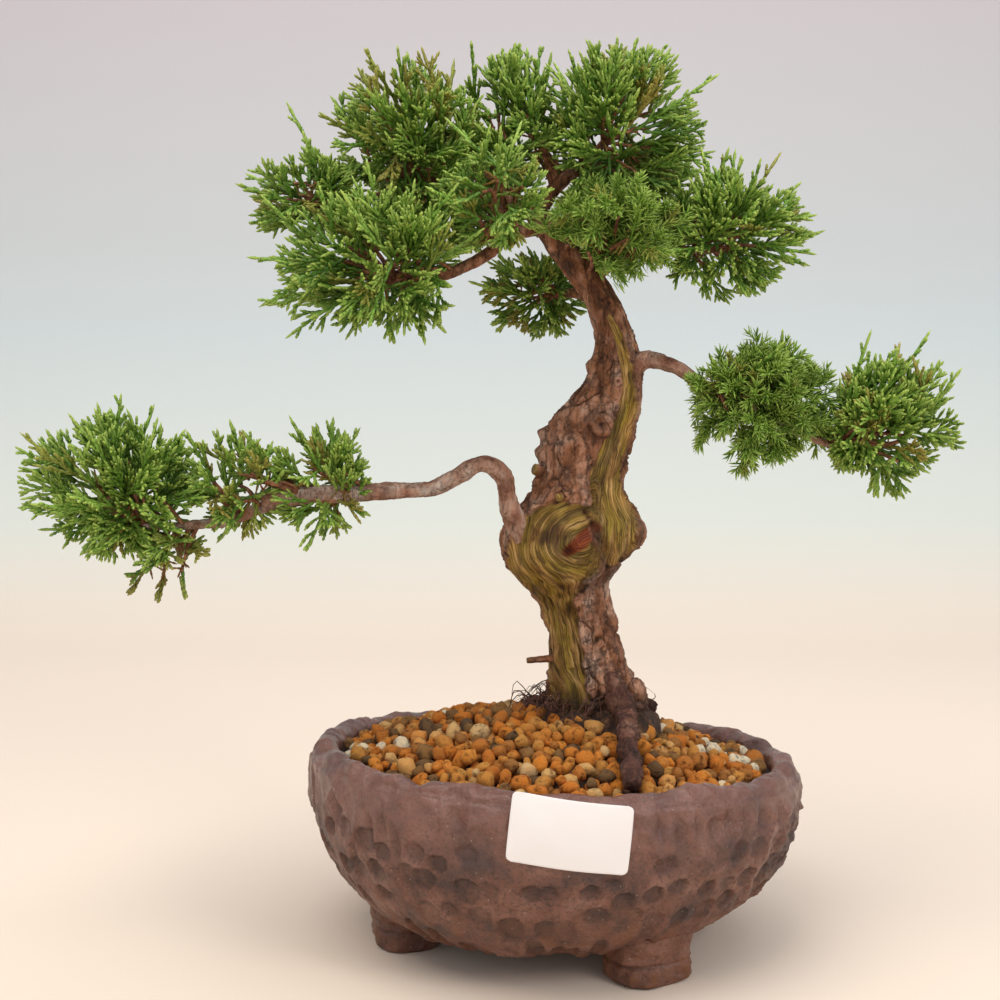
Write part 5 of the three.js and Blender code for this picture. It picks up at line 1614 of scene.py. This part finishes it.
class BONSAI_PG_foliage(bpy.types.PropertyGroup):
    shoot_girth: length_setting("Shoot Girth", 1.5, "Diameter of the main shoots")
    spray_length: length_setting("Spray Length", 27, "Length of the longest sprays")
    twigs_per_mass: bpy.props.IntProperty(name="Twigs", description="Twigs in a mass of mean size", default=20, min=4)
    sprays_per_twig: bpy.props.IntProperty(name="Sprays", description="Leafy sprays along a twig", default=6, min=1)
    leaf_dark: colour_setting("Dark Leaves", "53802a", "Darkest leaves")
    leaf: colour_setting("Leaves", "83b344", "Most leaves")
    leaf_light: colour_setting("Light Leaves", "abca60", "Lightest leaves")
    leaf_tip: colour_setting("Growing Tips", "bdd465", "Fresh growth at the tips")
    leaf_old: colour_setting("Old Leaves", "b3a04e", "Leaves about to be shed")


class BONSAI_PG_stage(bpy.types.PropertyGroup):
    floor: colour_setting("Floor", "f3e3d2", "Colour of the floor")
    middle: colour_setting("Backdrop Middle", "cfd8da", "Colour half way up the backdrop")
    top: colour_setting("Backdrop Top", "cbc4c8", "Colour at the top of the backdrop")
    key_power: bpy.props.FloatProperty(name="Key Light", description="Power of the main soft light", default=9.6, min=0, unit="POWER")


# ------------------------------------------------------------------ operators
class BONSAI_OT_bowl(bpy.types.Operator):
    """Make the stoneware bowl and its feet"""

    bl_idname = "bonsai.bowl"
    bl_label = "Bowl"

    def execute(self, context):
        settings = context.scene.bonsai_bowl
        material = stoneware(settings)
        make_bowl(settings, material)
        make_feet(material)
        return {"FINISHED"}


class BONSAI_OT_drainage(bpy.types.Operator):
    """Finish the drainage mesh and its wire staple"""

    bl_idname = "bonsai.drainage"
    bl_label = "Drainage"

    def execute(self, context):
        for node, material in (("drain_mesh", moulded_plastic()), ("mesh_staple", anodised_wire())):
            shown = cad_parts[node]
            shown.data.materials.clear()
            shown.data.materials.append(material)
        return {"FINISHED"}


class BONSAI_OT_soil(bpy.types.Operator):
    """Make the packed soil and the loose granules on it"""

    bl_idname = "bonsai.soil"
    bl_label = "Soil"

    def execute(self, context):
        settings = context.scene.bonsai_soil
        make_soil_bed(old_soil())
        make_granules(settings, fired_granules(settings))
        return {"FINISHED"}


class BONSAI_OT_wood(bpy.types.Operator):
    """Make the trunk, branches, stubs, roots and root ball"""

    bl_idname = "bonsai.wood"
    bl_label = "Wood"

    def execute(self, context):
        settings = context.scene.bonsai_wood
        material = juniper_wood(settings)
        make_trunk(settings, material)
        make_stubs(material)
        make_branches(settings, material)
        make_root_ball(old_soil(), material)
        return {"FINISHED"}


class BONSAI_OT_foliage(bpy.types.Operator):
    """Grow every mass of foliage and its twigs"""

    bl_idname = "bonsai.foliage"
    bl_label = "Foliage"

    def execute(self, context):
        settings = context.scene.bonsai_foliage
        leaves = leaf_green("Scale leaves", settings, 0.48)
        needles = leaf_green("Awl needles", settings, 0.42)
        make_foliage(settings, leaves, needles, twig_bark())
        return {"FINISHED"}


class BONSAI_OT_label(bpy.types.Operator):
    """Stick the blank label on the bowl"""

    bl_idname = "bonsai.label"
    bl_label = "Label"

    def execute(self, context):
        settings = context.scene.bonsai_bowl
        make_label(settings, label_vinyl(settings.label))
        return {"FINISHED"}


class BONSAI_OT_stage(bpy.types.Operator):
    """Set up the floor, the soft lights and the camera"""

    bl_idname = "bonsai.stage"
    bl_label = "Stage"

    def execute(self, context):
        settings = context.scene.bonsai_stage
        make_sweep(studio_paper(settings.floor, settings.middle, settings.top))
        make_lights(settings.key_power)
        make_camera()
        return {"FINISHED"}


def make_sweep(material):
    """A floor that curves up into a backdrop."""
    bend = np.linspace(0, math.pi / 2, 24)
    curve = 0.35
    back = 0.95
    profile = [(-2.5, 0.0), (back - curve, 0.0)]
    profile += [(back - curve + curve * math.sin(a), curve - curve * math.cos(a)) for a in bend[1:]]
    profile.append((back, 2.4))
    wide = 3.0
    corners = [(x, y, z) for y, z in profile for x in (-wide, wide)]
    faces = [(2 * i, 2 * i + 1, 2 * i + 3, 2 * i + 2) for i in range(len(profile) - 1)]
    mesh = bpy.data.meshes.new("paper_sweep")
    mesh.from_pydata(corners, [], faces)
    mesh.shade_smooth()
    mesh.materials.append(material)
    sweep = bpy.data.objects.new("paper_sweep", mesh)
    bpy.context.scene.collection.objects.link(sweep)
    sweep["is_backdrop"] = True


def make_lights(key_power):
    """Large soft lights and an even sky."""
    aim = Vector((0, 0, 0.14))
    for name, place, size, power, colour in (
        ("key_light", (-0.4, -0.45, 1.3), 1.0, key_power, "fff6ea"),
        ("fill_light", (0.75, -0.8, 0.75), 0.4, key_power * 0.4, "fdfaf6"),
        ("top_light", (0.3, 0.1, 1.3), 1.0, key_power * 0.4, "f4f8ff"),
    ):
        light = bpy.data.lights.new(name, "AREA")
        light.shape = "SQUARE"
        light.size = size
        light.energy = power
        light.color = linear(colour)
        lamp = bpy.data.objects.new(name, light)
        lamp.location = place
        lamp.rotation_euler = (aim - Vector(place)).to_track_quat("-Z", "Y").to_euler()
        bpy.context.scene.collection.objects.link(lamp)
    world = bpy.data.worlds.new("Even sky")
    world.use_nodes = True
    world.node_tree.nodes["Background"].inputs["Color"].default_value = opaque("e9eef4")
    world.node_tree.nodes["Background"].inputs["Strength"].default_value = 0.73
    bpy.context.scene.world = world
    bpy.context.scene.view_settings.view_transform = "Standard"


def make_camera():
    """A level-headed product view, a little above the bowl and slightly to the left."""
    data = bpy.data.cameras.new("camera")
    data.sensor_width = 36.0
    data.lens = 52.2
    camera = bpy.data.objects.new("camera", data)
    camera.location = Vector(AXIS) + Vector((-19, -505, 184)) * MM
    camera.rotation_euler = (math.radians(90 - 3.62), 0, 0)
    data.clip_start, data.clip_end = 0.01, 20
    bpy.context.scene.collection.objects.link(camera)
    bpy.context.scene.camera = camera


class BONSAI_PT_panel(bpy.types.Panel):
    """The pieces of the bonsai"""

    bl_idname = "BONSAI_PT_panel"
    bl_label = "Bonsai"
    bl_space_type = "VIEW_3D"
    bl_region_type = "UI"
    bl_category = "Bonsai"

    def draw(self, context):
        for step in STEPS:
            self.layout.operator(step.bl_idname)


STEPS = (
    BONSAI_OT_bowl,
    BONSAI_OT_drainage,
    BONSAI_OT_soil,
    BONSAI_OT_wood,
    BONSAI_OT_foliage,
    BONSAI_OT_label,
    BONSAI_OT_stage,
)
SETTINGS = {
    "bonsai_bowl": BONSAI_PG_bowl,
    "bonsai_soil": BONSAI_PG_soil,
    "bonsai_wood": BONSAI_PG_wood,
    "bonsai_foliage": BONSAI_PG_foliage,
    "bonsai_stage": BONSAI_PG_stage,
}


def register():
    for kind in (*SETTINGS.values(), *STEPS, BONSAI_PT_panel):
        bpy.utils.register_class(kind)
    for name, kind in SETTINGS.items():
        setattr(bpy.types.Scene, name, bpy.props.PointerProperty(type=kind))


def unregister():
    for name in SETTINGS:
        delattr(bpy.types.Scene, name)
    for kind in reversed((*SETTINGS.values(), *STEPS, BONSAI_PT_panel)):
        bpy.utils.unregister_class(kind)


def main():
    register()
    for step in STEPS:
        group, name = step.bl_idname.split(".")
        getattr(getattr(bpy.ops, group), name)()
    boxes = {"cad": CAD_BOX, "visual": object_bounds()}
    {key: [list(corner) for corner in box] for key, box in boxes.items()}


if __name__ == "__main__":
    main()
